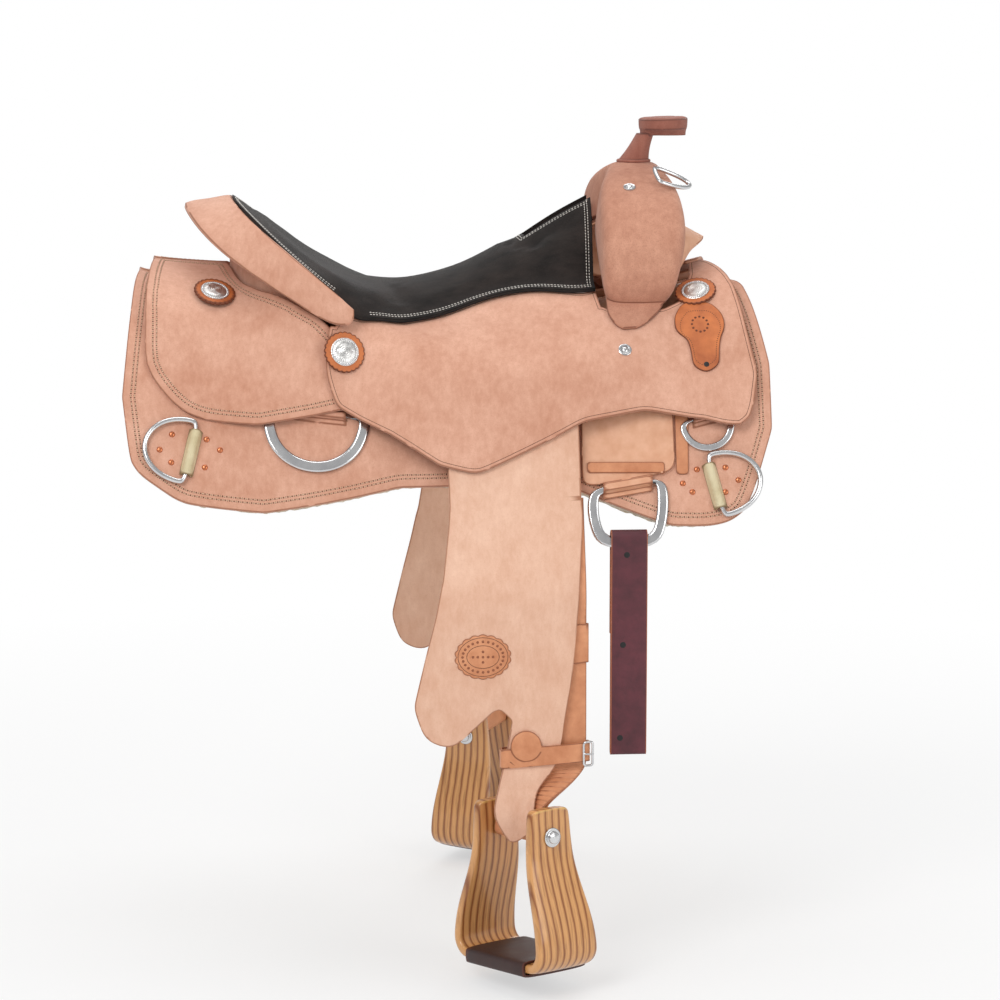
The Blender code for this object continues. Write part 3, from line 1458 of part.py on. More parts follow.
for tag, side in SIDES:
    centre, across, down, deep = stirrup_axes(side)
    wood = make(f"stirrup_frame_{tag}", stirrup_frame(side), WOOD, centre)
    reach = NECK_HALF + LEG_THICK + 0.002
    hole = turned([(-reach, 0.0), (-reach, STRAP_EYE_R), (reach, STRAP_EYE_R), (reach, 0.0)], centre, across, 16)
    union(wood, make("hole", hole, WOOD), "DIFFERENCE")
    make(f"stirrup_tread_{tag}", tread(side), DARK, centre)
    face = NECK_HALF + LEG_THICK + GAP
    edge = face + WASHER_THICK
    end = edge + BOLT_HEAD
    profile = [(face, BOLT_R), (face, WASHER_R), (edge, WASHER_R), (edge, BOLT_HEAD_R),
               (end - 0.0015, BOLT_HEAD_R), (end, 0.0)]
    profile = [(-z, r) for z, r in reversed(profile)] + profile
    make(f"stirrup_bolt_{tag}", turned(profile, centre, across, 16), STEEL, centre, True)

# Off billet, through the right rigging dee


def billet():
    far = on_flank(-1, BILLET_X, RIG_END_S, RIG_END_H)
    thick = BILLET_THICK
    loop_r = BILLET_EYE_R + thick / 2.0
    fold_r = (loop_r - BACK_Q) / 2.0
    path = [(-loop_r, BILLET_TAIL), (-loop_r, 0.03), (-loop_r, -BILLET_RISE)]
    for k in range(1, 8):
        angle = math.pi * k / 8.0
        path.append((-loop_r * math.cos(angle), -BILLET_RISE - loop_r * math.sin(angle)))
    path += [(loop_r, -BILLET_RISE), (loop_r, 0.06), (loop_r, BILLET_LONG - fold_r)]
    for k in range(1, 6):
        angle = math.pi * k / 6.0
        path.append((BACK_Q + fold_r + fold_r * math.cos(angle), BILLET_LONG - fold_r + fold_r * math.sin(angle)))
    path += [(BACK_Q, BILLET_LONG - fold_r), (BACK_Q, 0.06), (BACK_Q, 0.026)]
    left = offset_line(path, thick / 2.0)
    right = offset_line(path, -thick / 2.0)
    half = BILLET_WIDE / 2.0
    rings = []
    for k, (one, two) in enumerate(zip(left, right)):
        slant = -BILLET_SLANT / half if k == 0 else 0.0
        rings.append([
            far + Vector((wide, -spot.x, -spot.y + slant * wide))
            for wide, spot in ((-half, one), (half, one), (half, two), (-half, two))])
    return loft(rings), far


solid, far = billet()
make("off_billet", solid, BURGUNDY, far)

# Conchos on leather rosettes


def concho(side, x, s, floor, lift, seat):
    """A domed disc on a rosette, held a little off the leather by its screw."""

    def spot(a, b):
        return on_flank(side, a, b, floor(a, b), lift(a, b))

    reach = 0.6 * CONCHO_R
    here = spot(x, s)
    normal = (spot(x + reach, s) - spot(x - reach, s)).cross(spot(x, s + reach) - spot(x, s - reach))
    if normal.y * side < 0:
        normal.negate()
    top = seat + ROSETTE_THICK
    profile = [
        (SCREW_GAP, 0.0), (SCREW_GAP, SCREW_R), (seat, SCREW_R), (seat, ROSETTE_R), (top, ROSETTE_R),
        (top, CONCHO_R), (top + 0.0014, CONCHO_R), (top + 0.0022, 0.86 * CONCHO_R),
        (top + 0.0030, 0.5 * CONCHO_R), (top + 0.0034, 0.0),
    ]
    return turned(profile, here, normal, 20)


CONCHOS = [
    ("rear", -0.255, 0.086, lambda x, s: first_layer(x, s) + JOCKEY_THICK + 0.0002, rear_lift, 0.0043),
    ("front", 0.264, 0.094, lambda x, s: seat_jockey_low(x, s) + JOCKEY_THICK, jockey_lift, 0.0009),
    ("middle", -0.118, 0.153, lambda x, s: seat_jockey_low(x, s) + JOCKEY_THICK - FACET_SAG, jockey_lift,
     0.0020),
]

for tag, side in SIDES:
    for place, x, s, floor, lift, seat in CONCHOS:
        make(f"{place}_concho_{tag}", concho(side, x, s, floor, lift, seat), STEEL, None, True)
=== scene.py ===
"""A western show saddle, dressed for its portrait.

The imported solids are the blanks. Each section takes the blanks of one piece, works them up into
leather, wool, wood or steel, and lets them ride where their solid rides.
Metres, +X towards the horse's head, +Y to the horse's left, +Z up.
"""

import math

import bmesh
import bpy
from mathutils import Matrix, Vector, kdtree, noise
from mathutils.bvhtree import BVHTree
from mathutils.geometry import delaunay_2d_cdt


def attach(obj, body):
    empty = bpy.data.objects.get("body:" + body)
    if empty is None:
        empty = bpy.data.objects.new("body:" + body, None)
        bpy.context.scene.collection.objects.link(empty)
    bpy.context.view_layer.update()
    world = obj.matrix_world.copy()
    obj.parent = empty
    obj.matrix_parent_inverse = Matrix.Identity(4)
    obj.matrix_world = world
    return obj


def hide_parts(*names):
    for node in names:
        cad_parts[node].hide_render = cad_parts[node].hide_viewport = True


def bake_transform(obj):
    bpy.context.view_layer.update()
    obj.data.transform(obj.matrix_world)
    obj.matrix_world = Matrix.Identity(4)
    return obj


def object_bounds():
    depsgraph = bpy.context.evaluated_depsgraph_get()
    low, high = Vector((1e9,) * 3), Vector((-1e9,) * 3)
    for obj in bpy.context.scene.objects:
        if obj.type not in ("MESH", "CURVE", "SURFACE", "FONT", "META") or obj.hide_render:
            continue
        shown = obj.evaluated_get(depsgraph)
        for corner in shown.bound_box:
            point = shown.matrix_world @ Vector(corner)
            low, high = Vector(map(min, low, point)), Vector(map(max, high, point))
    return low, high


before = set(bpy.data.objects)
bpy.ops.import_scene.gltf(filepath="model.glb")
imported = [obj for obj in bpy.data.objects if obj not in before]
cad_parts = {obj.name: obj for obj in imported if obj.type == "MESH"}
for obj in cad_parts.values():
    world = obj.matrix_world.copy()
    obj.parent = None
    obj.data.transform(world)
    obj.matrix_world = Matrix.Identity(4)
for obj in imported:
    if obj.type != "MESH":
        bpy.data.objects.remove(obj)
cad_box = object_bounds()

# The floor, the lamps and the camera.
# White paper under the hanging saddle, four soft boxes and a low sky, and a long lens level
# with the seat, as the shop photograph has it.


class Wire:
    """A socket of a node tree that takes part in plain sums."""

    def __init__(self, tree, socket=None):
        self.tree = tree
        self.socket = socket

    def node(self, kind, settings, sockets, out=0):
        made = self.tree.nodes.new(kind)
        for key, value in settings.items():
            if key == "stops":
                ramp = made.color_ramp
                while len(ramp.elements) < len(value):
                    ramp.elements.new(0.5)
                for element, (place, tone) in zip(ramp.elements, value):
                    element.position = place
                    element.color = (tone, tone, tone, 1.0)
            else:
                setattr(made, key, value)
        for key, value in sockets.items():
            if isinstance(value, Wire):
                self.tree.links.new(value.socket, made.inputs[key])
            else:
                made.inputs[key].default_value = value
        return Wire(self.tree, made.outputs[out])

    def sum(self, operation, a, b=0.0):
        return self.node("ShaderNodeMath", {"operation": operation}, {0: a, 1: b})

    def __add__(self, other):
        return self.sum("ADD", self, other)

    def __sub__(self, other):
        return self.sum("SUBTRACT", self, other)

    def __mul__(self, other):
        return self.sum("MULTIPLY", self, other)

    def __rsub__(self, other):
        return self.sum("SUBTRACT", other, self)

    __radd__ = __add__
    __rmul__ = __mul__

    def held(self):
        """Kept between 0 and 1."""
        return self.node("ShaderNodeClamp", {}, {0: self})

    def tint(self, low, high):
        """A colour between two, this socket being the share of the second."""
        wheel = {"data_type": "RGBA"}
        return self.node("ShaderNodeMix", wheel, {0: self, 6: low, 7: high}, 2)

    def ramp(self, *stops):
        return self.node("ShaderNodeValToRGB", {"stops": stops}, {0: self})


def paint(red, green, blue):
    """A colour as a paint card gives it, 0 to 255, in the linear values that a shader takes."""
    def linear(c):
        c = c / 255.0
        return c / 12.92 if c <= 0.04045 else ((c + 0.055) / 1.055) ** 2.4
    return (linear(red), linear(green), linear(blue), 1.0)


def paper():
    """White paper: it glows where the lens sees it, less so near the saddle, where its shadow stays."""
    card = bpy.data.materials.new("floor_paper")
    card.use_nodes = True
    tree = card.node_tree
    tree.nodes.clear()
    wire = Wire(tree)
    ray = "ShaderNodeLightPath"
    seen = (wire.node(ray, {}, {}, "Is Camera Ray") + wire.node(ray, {}, {}, "Is Glossy Ray")
            + wire.node(ray, {}, {}, "Is Transmission Ray")).held()
    matt = wire.node("ShaderNodeBsdfDiffuse", {}, {"Color": paint(236, 236, 236)})
    glow = wire.node("ShaderNodeEmission", {}, {"Color": (1.0, 1.0, 1.0, 1.0), "Strength": 1.0})
    place = wire.node("ShaderNodeTexCoord", {}, {}, "Object")
    far = place.node("ShaderNodeVectorMath", {"operation": "LENGTH"}, {0: place}, "Value")
    fade = ((far - 0.75) * 0.8).held() * 0.45 + 0.55
    mixed = wire.node("ShaderNodeMixShader", {}, {0: seen * fade, 1: matt, 2: glow})
    last = tree.nodes.new("ShaderNodeOutputMaterial")
    tree.links.new(mixed.socket, last.inputs["Surface"])
    return card


floor_mesh = bpy.data.meshes.new("floor")
FLOOR_Z = cad_box[0].z - 0.016
FLOOR_REACH = 40.0
ground = bmesh.new()
bmesh.ops.create_circle(ground, cap_ends=True, segments=64, radius=FLOOR_REACH)
bmesh.ops.translate(ground, verts=ground.verts, vec=(0.0, 0.0, FLOOR_Z))
ground.to_mesh(floor_mesh)
ground.free()
floor_mesh.materials.append(paper())
floor = bpy.data.objects.new("floor", floor_mesh)
bpy.context.scene.collection.objects.link(floor)

sky = bpy.data.worlds.new("studio")
sky.use_nodes = True
dome = Wire(sky.node_tree)
backing = sky.node_tree.nodes["Background"]
straight = dome.node("ShaderNodeLightPath", {}, {}, "Is Camera Ray")
sky.node_tree.links.new((straight * 0.52 + 0.48).socket, backing.inputs["Strength"])
backing.inputs["Color"].default_value = (1.0, 1.0, 1.0, 1.0)
bpy.context.scene.world = sky


def soft_box(name, place, aim, size, watts):
    """A flat lamp at its place, turned to what it lights."""
    lamp = bpy.data.lights.new(name, "AREA")
    lamp.shape = "RECTANGLE"
    lamp.size, lamp.size_y = size
    lamp.energy = watts
    holder = bpy.data.objects.new(name, lamp)
    holder.location = place
    holder.rotation_euler = (Vector(aim) - Vector(place)).to_track_quat("-Z", "Y").to_euler()
    bpy.context.scene.collection.objects.link(holder)


soft_box("key", (-1.5, -2.4, 2.0), (0.0, 0.0, -0.1), (1.6, 1.6), 52.0)
soft_box("fill", (2.2, -2.2, 0.6), (0.0, 0.0, -0.2), (1.6, 1.8), 22.0)
soft_box("top", (0.0, 0.3, 2.6), (0.0, 0.0, 0.0), (2.2, 1.6), 26.0)
soft_box("back", (0.6, 2.8, 1.2), (0.0, 0.0, -0.1), (2.0, 1.4), 26.0)

CAMERA_PLACE = Vector((-0.219, -3.545, 0.357))
CAMERA_AIM = Vector((0.060, 0.0, -0.206))
lens = bpy.data.cameras.new("portrait")
lens.lens = 115.7
lens.sensor_width = 36.0
camera = bpy.data.objects.new("portrait", lens)
camera.location = CAMERA_PLACE
camera.rotation_euler = (CAMERA_AIM - CAMERA_PLACE).to_track_quat("-Z", "Y").to_euler()
bpy.context.scene.collection.objects.link(camera)
bpy.context.scene.camera = camera
bpy.context.scene.view_settings.view_transform = "Standard"

# The tree.
# A wooden tree under the leather: two sealed bars along the back and a fork in front, covered in hide
# like the cantle and the ground seat. Everything else is nailed, screwed or laced to it.

SIDES = {"right": -1.0, "left": 1.0}
KEEN = math.radians(50.0)
ROUND_KEEN = math.radians(80.0)
EASE_OFF = 0.0005
WELD = 0.00001


def blank(*nodes, swell=0.0, pair=20.0):
    """The solids of one or more nodes as a welded form, its triangles paired up again."""
    form = bmesh.new()
    for node in nodes:
        form.from_mesh(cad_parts[node].data)
    bmesh.ops.remove_doubles(form, verts=form.verts, dist=WELD)
    for vert in form.verts:
        vert.co += vert.normal * swell
    bmesh.ops.join_triangles(form, faces=form.faces, angle_face_threshold=math.radians(pair),
                             angle_shape_threshold=math.radians(60.0))
    return form


def put_in_scene(name, mesh):
    piece = bpy.data.objects.new(name, mesh)
    bpy.context.scene.collection.objects.link(piece)
    return piece


def settled(piece):
    """The piece with its modifiers worked into its mesh."""
    bpy.context.view_layer.update()
    seen = piece.evaluated_get(bpy.context.evaluated_depsgraph_get())
    mesh = bpy.data.meshes.new_from_object(seen)
    piece.modifiers.clear()
    old = piece.data
    piece.data = mesh
    mesh.name = old.name
    bpy.data.meshes.remove(old)
    return piece


def is_keen(edge, keen):
    """Whether two faces meet at this edge in a sharp corner."""
    return len(edge.link_faces) == 2 and edge.calc_face_angle(0.0) > keen


def nearest_of(spots):
    """Spots sorted so that the nearest of them is found."""
    near = kdtree.KDTree(len(spots))
    for k, spot in enumerate(spots):
        near.insert(spot, k)
    near.balance()
    return near


def worked(name, form, rounds=2, ease_off=EASE_OFF, keen=KEEN):
    """A form drawn smooth between its keen edges, and those taken off a little.

    Every point gets its distance to the nearest keen edge, as the attribute rim.
    """
    crease = form.edges.layers.float.get("crease_edge") or form.edges.layers.float.new("crease_edge")
    for edge in form.edges:
        if is_keen(edge, keen):
            edge[crease] = 1.0
    mesh = bpy.data.meshes.new(name)
    form.to_mesh(mesh)
    piece = put_in_scene(name, mesh)
    finer = piece.modifiers.new("finer", "SUBSURF")
    finer.levels = finer.render_levels = rounds
    settled(piece)
    shape = bmesh.new()
    shape.from_mesh(piece.data)
    spots = []
    for edge in shape.edges:
        if is_keen(edge, keen):
            spots.append((edge.verts[0].co + edge.verts[1].co) / 2.0)
            spots.append(edge.verts[0].co.copy())
    shape.free()
    if ease_off:
        soften = piece.modifiers.new("soften", "BEVEL")
        soften.width = ease_off
        soften.segments = 2
        soften.limit_method = "ANGLE"
        soften.angle_limit = keen
        settled(piece)
    mesh = piece.data
    mesh.polygons.foreach_set("use_smooth", [True] * len(mesh.polygons))
    mesh.set_sharp_from_angle(angle=math.radians(48.0))
    rim = mesh.attributes.new("rim", "FLOAT", "POINT")
    far = [0.1] * len(mesh.vertices)
    if spots:
        near = nearest_of(spots)
        far = [near.find(v.co)[2] for v in mesh.vertices]
    rim.data.foreach_set("value", far)
    return piece


def hand_over(piece, finish, body, slot, *nodes):
    """Gives a finished piece its material, the body it rides on and the blanks it stands for."""
    piece.data.materials.clear()
    piece.data.materials.append(finish)
    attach(piece, body)
    if nodes:
        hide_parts(*nodes)
    return piece


def made_up(name, node, finish, slot, body="saddle", rounds=2, ease_off=EASE_OFF, pair=20.0):
    """The blank of one node worked up and handed over."""
    piece = worked(name, blank(node, pair=pair), rounds, ease_off)
    return hand_over(piece, finish, body, slot, node)


def new_finish(name):
    """A bare material, its shader, and a wire to start from."""
    finish = bpy.data.materials.new(name)
    finish.use_nodes = True
    shader = finish.node_tree.nodes["Principled BSDF"]
    wire = Wire(finish.node_tree)
    place = wire.node("ShaderNodeTexCoord", {}, {}, "Object")
    return finish, shader, wire, place


def feed(shader, **wires):
    """Links or sets the shader's main sockets, named in short."""
    names = {"colour": "Base Color", "rough": "Roughness", "metal": "Metallic", "normal": "Normal",
             "coat": "Coat Weight"}
    for key, value in wires.items():
        target = shader.inputs[names[key]]
        if isinstance(value, Wire):
            value.tree.links.new(value.socket, target)
        else:
            target.default_value = value


def cloud(place, scale, detail=3.0, rough=0.55, stretch=None):
    """Noise of so many blobs to the metre, 0 to 1."""
    if stretch:
        place = place.node("ShaderNodeVectorMath", {"operation": "MULTIPLY"}, {0: place, 1: stretch})
    return place.node(
        "ShaderNodeTexNoise", {}, {"Vector": place, "Scale": scale, "Detail": detail, "Roughness": rough})


def dents(height, far, strength=0.6, under=None):
    """Bumps this far deep, over those of another set if there is one."""
    sockets = {"Height": height, "Strength": strength, "Distance": far}
    if under is not None:
        sockets["Normal"] = under
    return height.node("ShaderNodeBump", {}, sockets)


def sealed_wood():
    finish, shader, wire, place = new_finish("sealed_tree_wood")
    streak = cloud(place, 30.0, 4.0, 0.6, (1.0, 8.0, 8.0))
    patch = cloud(place, 14.0, 2.0)
    tone = (streak * 0.7 + patch * 0.3).ramp((0.25, 0.0), (0.75, 1.0))
    feed(shader, colour=tone.tint(paint(148, 100, 72), paint(188, 138, 106)), rough=0.42 + streak * 0.2,
         normal=dents(streak, 0.0006))
    return finish


TREE_WOOD = sealed_wood()
for tag in SIDES:
    made_up(f"bar_of_tree_{tag}", f"tree_bar_{tag}", TREE_WOOD, "tree", rounds=1)


def tanned(name, light, dark, edge, shine=0.42, pores=0.5):
    """Smooth leather, grain side out, oiled, with darker dyed edges."""
    finish, shader, wire, place = new_finish(name)
    rim = wire.node("ShaderNodeAttribute", {"attribute_name": "rim"}, {}, "Fac")
    broad = cloud(place, 12.0, 3.0)
    patch = cloud(place, 70.0, 4.0, 0.6)
    cells = wire.node("ShaderNodeTexVoronoi", {"feature": "DISTANCE_TO_EDGE"},
                      {"Vector": place, "Scale": 1300.0})
    crinkle = cells.ramp((0.0, 0.0), (0.12, 1.0))
    fine = cloud(place, 1800.0, 2.0)
    tone = (broad * 0.55 + patch * 0.45).ramp((0.36, 0.0), (0.66, 1.0))
    colour = tone.tint(dark, light)
    colour = ((1.0 - crinkle) * 0.18 * pores).tint(colour, dark)
    worn = ((0.0012 - rim) * 1100.0).held()
    colour = worn.tint(colour, edge)
    normal = dents(crinkle * 0.7 + fine * 0.3, 0.0004, 0.35 * pores)
    normal = dents(patch, 0.0012, 0.25, normal)
    feed(shader, colour=colour, rough=shine + patch * 0.18 + (1.0 - crinkle) * 0.08, normal=normal)
    return finish


TAN = tanned("oiled_tan_leather", paint(226, 160, 118), paint(190, 120, 80), paint(142, 84, 54))
made_up("ground_seat_leather", "ground_seat", TAN, "smooth_leather")


def roughout(name, light, dark, edge, grime=0.5):
    """Skirting leather with its flesh side out: a brushed nap, worn and stained in patches."""
    finish, shader, wire, place = new_finish(name)
    rim = wire.node("ShaderNodeAttribute", {"attribute_name": "rim"}, {}, "Fac")
    broad = cloud(place, 7.0, 4.0, 0.6)
    patch = cloud(place, 34.0, 5.0, 0.65)
    brushed = cloud(place, 160.0, 4.0, 0.7, (1.0, 1.0, 0.35))
    nap = cloud(place, 620.0, 4.0, 0.8)
    fibre = cloud(place, 1900.0, 2.0, 0.7)
    tone = (broad * 0.42 + patch * 0.30 + brushed * 0.28).ramp((0.34, 0.0), (0.68, 1.0))
    colour = tone.tint(dark, light)
    fleck = nap.ramp((0.34, 1.0), (0.50, 0.0)) * 0.55 + fibre.ramp((0.32, 1.0), (0.47, 0.0)) * 0.35
    colour = (fleck * grime).tint(colour, dark)
    worn = ((0.0016 - rim) * 900.0).held()
    halo = ((0.010 - rim) * 100.0).held() * patch * 0.5
    colour = halo.tint(colour, dark)
    colour = worn.tint(colour, edge)
    rough = 0.96 - worn * 0.36
    pile = dents(nap * 0.6 + fibre * 0.4, 0.0010, 0.55)
    normal = dents(patch * 0.6 + brushed * 0.4, 0.0011, 0.35, pile)
    feed(shader, colour=colour, rough=rough, normal=normal)
    shader.inputs["Specular IOR Level"].default_value = 0.25
    shader.inputs["Sheen Weight"].default_value = 0.12
    shader.inputs["Sheen Roughness"].default_value = 0.6
    return finish


HIDE = roughout("roughout_hide", paint(236, 188, 164), paint(194, 138, 112), paint(158, 104, 78), 0.75)
HIDE_FORK = roughout("roughout_fork", paint(218, 164, 138), paint(166, 108, 84), paint(140, 88, 66), 0.9)
made_up("fork_of_tree", "tree_fork", HIDE_FORK, "roughout_leather", rounds=1)
made_up("cantle_back_hide", "cantle_back", HIDE, "roughout_leather")

# Skirts.
# Two big panels of roughout leather, lined with wool, that carry everything else.
# A double row of pale stitches runs round each, in a line of awl holes.

EDGE_KEEN = math.radians(42.0)
SPINE_Z = -0.16


def off_the_back(spot):
    """Straight out from the line of the spine."""
    return Vector((0.0, spot.y, spot.z - SPINE_Z)).normalized()


def rims(mesh):
    """The keen edges round a form's outer face, as lists of (spot, inward, up), the longest first."""
    shape = bmesh.new()
    shape.from_mesh(mesh)
    links = {}
    for edge in shape.edges:
        if not is_keen(edge, EDGE_KEEN):
            continue
        face = max(edge.link_faces, key=lambda f: f.normal.dot(off_the_back(f.calc_center_median())))
        middle = face.calc_center_median()
        if face.normal.dot(off_the_back(middle)) < 0.55:
            continue
        run = (edge.verts[1].co - edge.verts[0].co).normalized()
        inward = face.normal.cross(run)
        if inward.dot(middle - edge.verts[0].co) < 0:
            inward.negate()
        for a, b in ((0, 1), (1, 0)):
            links.setdefault(edge.verts[a].index, []).append(
                (edge.verts[b].index, inward, face.normal.copy()))
    shape.verts.ensure_lookup_table()
    left = set(links)
    loops = []
    while left:
        here = min(left, key=lambda k: (len(links[k]), k))
        chain = [here]
        left.discard(here)
        while True:
            onward = [k for k, _, _ in links[chain[-1]] if k in left]
            if not onward:
                break
            chain.append(onward[0])
            left.discard(onward[0])
        loop = []
        for k in chain:
            inward = sum((w for _, w, _ in links[k]), Vector())
            up = sum((n for _, _, n in links[k]), Vector()).normalized()
            reach = max(inward.length / max(len(links[k]), 1), 0.45)
            loop.append((shape.verts[k].co.copy(), inward.normalized() / reach, up))
        if any(k == chain[0] for k, _, _ in links[chain[-1]]) and len(chain) > 2:
            loop.append(loop[0])
        loops.append(loop)
    shape.free()
    return sorted((loop for loop in loops if len(loop) > 5), key=len, reverse=True)


def skin_of(*pieces):
    """The surfaces of several pieces, to lay, sew or set things on."""
    cover = bmesh.new()
    for piece in pieces:
        cover.from_mesh(piece.data)
    skin = BVHTree.FromBMesh(cover)
    cover.free()
    return skin


def rows_inside(piece, loops, inset, lift):
    """The same lines moved in from the edge over the face, broken where they would run off it."""
    near = nearest_of([spot for loop in loops for spot, _, _ in loop])
    skin = skin_of(piece)
    rows = []
    for loop in loops:
        row = []
        for spot, inward, up in loop:
            there, _, _, away = skin.find_nearest(spot + inward * inset)
            if there is None or near.find(there)[2] < inset * 0.9 or away > inset * 0.7:
                if len(row) > 3:
                    rows.append(row)
                row = []
                continue
            row.append((there + up * lift, up))
        if len(row) > 3:
            rows.append(row)
    return rows


def opened_tree(name, ground, sizes, finish):
    """A new tree of geometry nodes that takes a mesh, some sizes and a material."""
    tree = bpy.data.node_groups.new(name, "GeometryNodeTree")
    kinds = {ground: "Geometry", **{size: "Float" for size in sizes}, finish: "Material"}
    for label, kind in kinds.items():
        tree.interface.new_socket(name=label, in_out="INPUT", socket_type=f"NodeSocket{kind}")
    tree.interface.new_socket(name="Made", in_out="OUTPUT", socket_type="NodeSocketGeometry")
    start = tree.nodes.new("NodeGroupInput")
    return Wire(tree), {socket.name: Wire(tree, socket) for socket in start.outputs if socket.name}


def bead(wire, segments, rings, radius, *sizes):
    """A ball stretched to its length, width and height."""
    ball = wire.node("GeometryNodeMeshUVSphere", {}, {"Segments": segments, "Rings": rings, "Radius": radius})
    scale = wire.node("ShaderNodeCombineXYZ", {}, dict(enumerate(sizes)))
    return wire.node("GeometryNodeTransform", {}, {"Geometry": ball, "Scale": scale})


def upright(wire):
    """The turn that stands a bead up along its spot's own up."""
    up = wire.node("GeometryNodeInputNamedAttribute", {"data_type": "FLOAT_VECTOR"}, {"Name": "up"})
    return wire.node("FunctionNodeAlignRotationToVector", {"axis": "Z"}, {"Vector": up})


def set_out(wire, spots, shape, turn, finish):
    """Ends a tree: the shape on every spot, made real, smooth and given its material."""
    laid_out = wire.node("GeometryNodeInstanceOnPoints", {},
                         {"Points": spots, "Instance": shape, "Rotation": turn})
    real = wire.node("GeometryNodeRealizeInstances", {}, {0: laid_out})
    smooth = wire.node("GeometryNodeSetShadeSmooth", {}, {0: real})
    dressed = wire.node("GeometryNodeSetMaterial", {}, {"Geometry": smooth, "Material": finish})
    end = wire.tree.nodes.new("NodeGroupOutput")
    wire.tree.links.new(dressed.socket, end.inputs[0])
    return wire.tree


def thread_tree():
    """Sets one small bead of thread after another along a line, its top towards up."""
    wire, given = opened_tree("run_of_stitches", "Line", ("Pitch", "Length", "Width", "Height"), "Thread")
    line = wire.node("GeometryNodeMeshToCurve", {}, {0: given["Line"]})
    even = wire.node("GeometryNodeResampleCurve", {"mode": "LENGTH"},
                     {"Curve": line, "Length": given["Pitch"]})
    stitch = bead(wire, 6, 4, 0.5, given["Length"], given["Width"], given["Height"])
    way = wire.node("GeometryNodeInputTangent", {}, {})
    turn = wire.node("FunctionNodeAlignRotationToVector", {"axis": "X", "pivot_axis": "Z"},
                     {"Rotation": upright(wire), "Vector": way})
    return set_out(wire, even, stitch, turn, given["Thread"])


STITCHES = thread_tree()


def from_tree(name, tree, spots, edges, values, body):
    """What a tree makes of (spot, up) pairs, as a plain mesh that rides on a body."""
    mesh = bpy.data.meshes.new(name)
    mesh.from_pydata([spot for spot, _ in spots], edges, [])
    way = mesh.attributes.new("up", "FLOAT_VECTOR", "POINT")
    way.data.foreach_set("vector", [c for _, up in spots for c in up])
    piece = put_in_scene(name, mesh)
    work = piece.modifiers.new("work", "NODES")
    work.node_group = tree
    for item in tree.interface.items_tree:
        if item.item_type == "SOCKET" and item.in_out == "INPUT" and item.name in values:
            work[item.identifier] = values[item.name]
    settled(piece)
    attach(piece, body)


def sew(name, rows, finish, body, slot, pitch, length=0.0034, width=0.0011, height=0.0009):
    """Stitches along rows of (spot, up) pairs."""
    spots, edges = [], []
    for row in rows:
        edges += [(k, k + 1) for k in range(len(spots), len(spots) + len(row) - 1)]
        spots += row
    values = {"Pitch": pitch, "Length": length, "Width": width, "Height": height, "Thread": finish}
    from_tree(name, STITCHES, spots, edges, values, body)


def waxed_thread(name, light, dark):
    finish, shader, wire, place = new_finish(name)
    twist = cloud(place, 2400.0, 2.0)
    feed(shader, colour=twist.ramp((0.35, 0.0), (0.6, 1.0)).tint(dark, light), rough=0.72 + twist * 0.15,
         normal=dents(twist, 0.0003))
    return finish


THREAD = waxed_thread("cream_thread", paint(226, 198, 168), paint(176, 140, 108))
# The dark beads of awl holes are painted shade in the holes; on creased and tooled lines they are partly the
# pressed leather's own darker colour and partly painted shade in the groove.
AWL_HOLE = waxed_thread("awl_holes", paint(112, 70, 48), paint(84, 50, 34))
SKIRT_ROWS = (0.0090, 0.0130)
ROW_PITCH = 0.0046
AWL_SIZE = (0.0013, 0.0021, 0.0004)


def double_row(name, piece, outline, insets):
    """Rows of stitches inside a piece's outline, each in its line of awl holes."""
    for k, inset in enumerate(insets):
        rows = rows_inside(piece, outline, inset, 0.0001)
        sew(f"{name}_row_{k + 1}", rows, THREAD, "saddle", "roughout_leather", ROW_PITCH)
        # Dark beads between the stitches stand for the awl holes: painted shade.
        sew(f"{name}_holes_{k + 1}", rows, AWL_HOLE, "saddle", "roughout_leather", ROW_PITCH / 2.0, *AWL_SIZE)


def shaped(name, rounds, node):
    """A blank worked up, with the lines of its edges that stitches follow."""
    form = blank(node)
    guide = worked(f"{name}_guide", form, rounds, 0.0)
    loops = rims(guide.data)
    bpy.data.objects.remove(guide)
    piece = worked(name, form, rounds)
    form.free()
    return piece, loops


SKIRTS = {}
for tag in SIDES:
    SKIRTS[tag], loops = shaped(f"skirt_hide_{tag}", 3, f"skirt_{tag}")
    hand_over(SKIRTS[tag], HIDE, "saddle", "roughout_leather", f"skirt_{tag}")
    double_row(f"skirt_stitches_{tag}", SKIRTS[tag], loops[:1], SKIRT_ROWS)

# Fleece.
# Sheep's wool on the underside of each skirt, trimmed level with its edge.
# It is glued and sewn on, and shows as a curly line all round.

WOOL_LUMP = 0.0016
WOOL_SINK = 0.0002


def curly_wool():
    finish, shader, wire, place = new_finish("curly_wool")
    curls = wire.node("ShaderNodeTexVoronoi", {"feature": "SMOOTH_F1"}, {"Vector": place, "Scale": 240.0})
    hairs = cloud(place, 900.0, 3.0, 0.7)
    patch = cloud(place, 18.0, 3.0)
    # Lighter on the tops of the curls and darker in the hollows between them, where the bump sinks: painted
    # shade, over random patches of the wool's own tone.
    tone = (curls * 0.9 + patch * 0.5).ramp((0.25, 1.0), (0.85, 0.0))
    feed(shader, colour=tone.tint(paint(208, 190, 160), paint(246, 238, 222)), rough=0.95 + hairs * 0.05,
         normal=dents(hairs, 0.0012, 0.6, dents(1.0 - curls, 0.0030, 0.7)))
    shader.inputs["Sheen Weight"].default_value = 0.25
    return finish


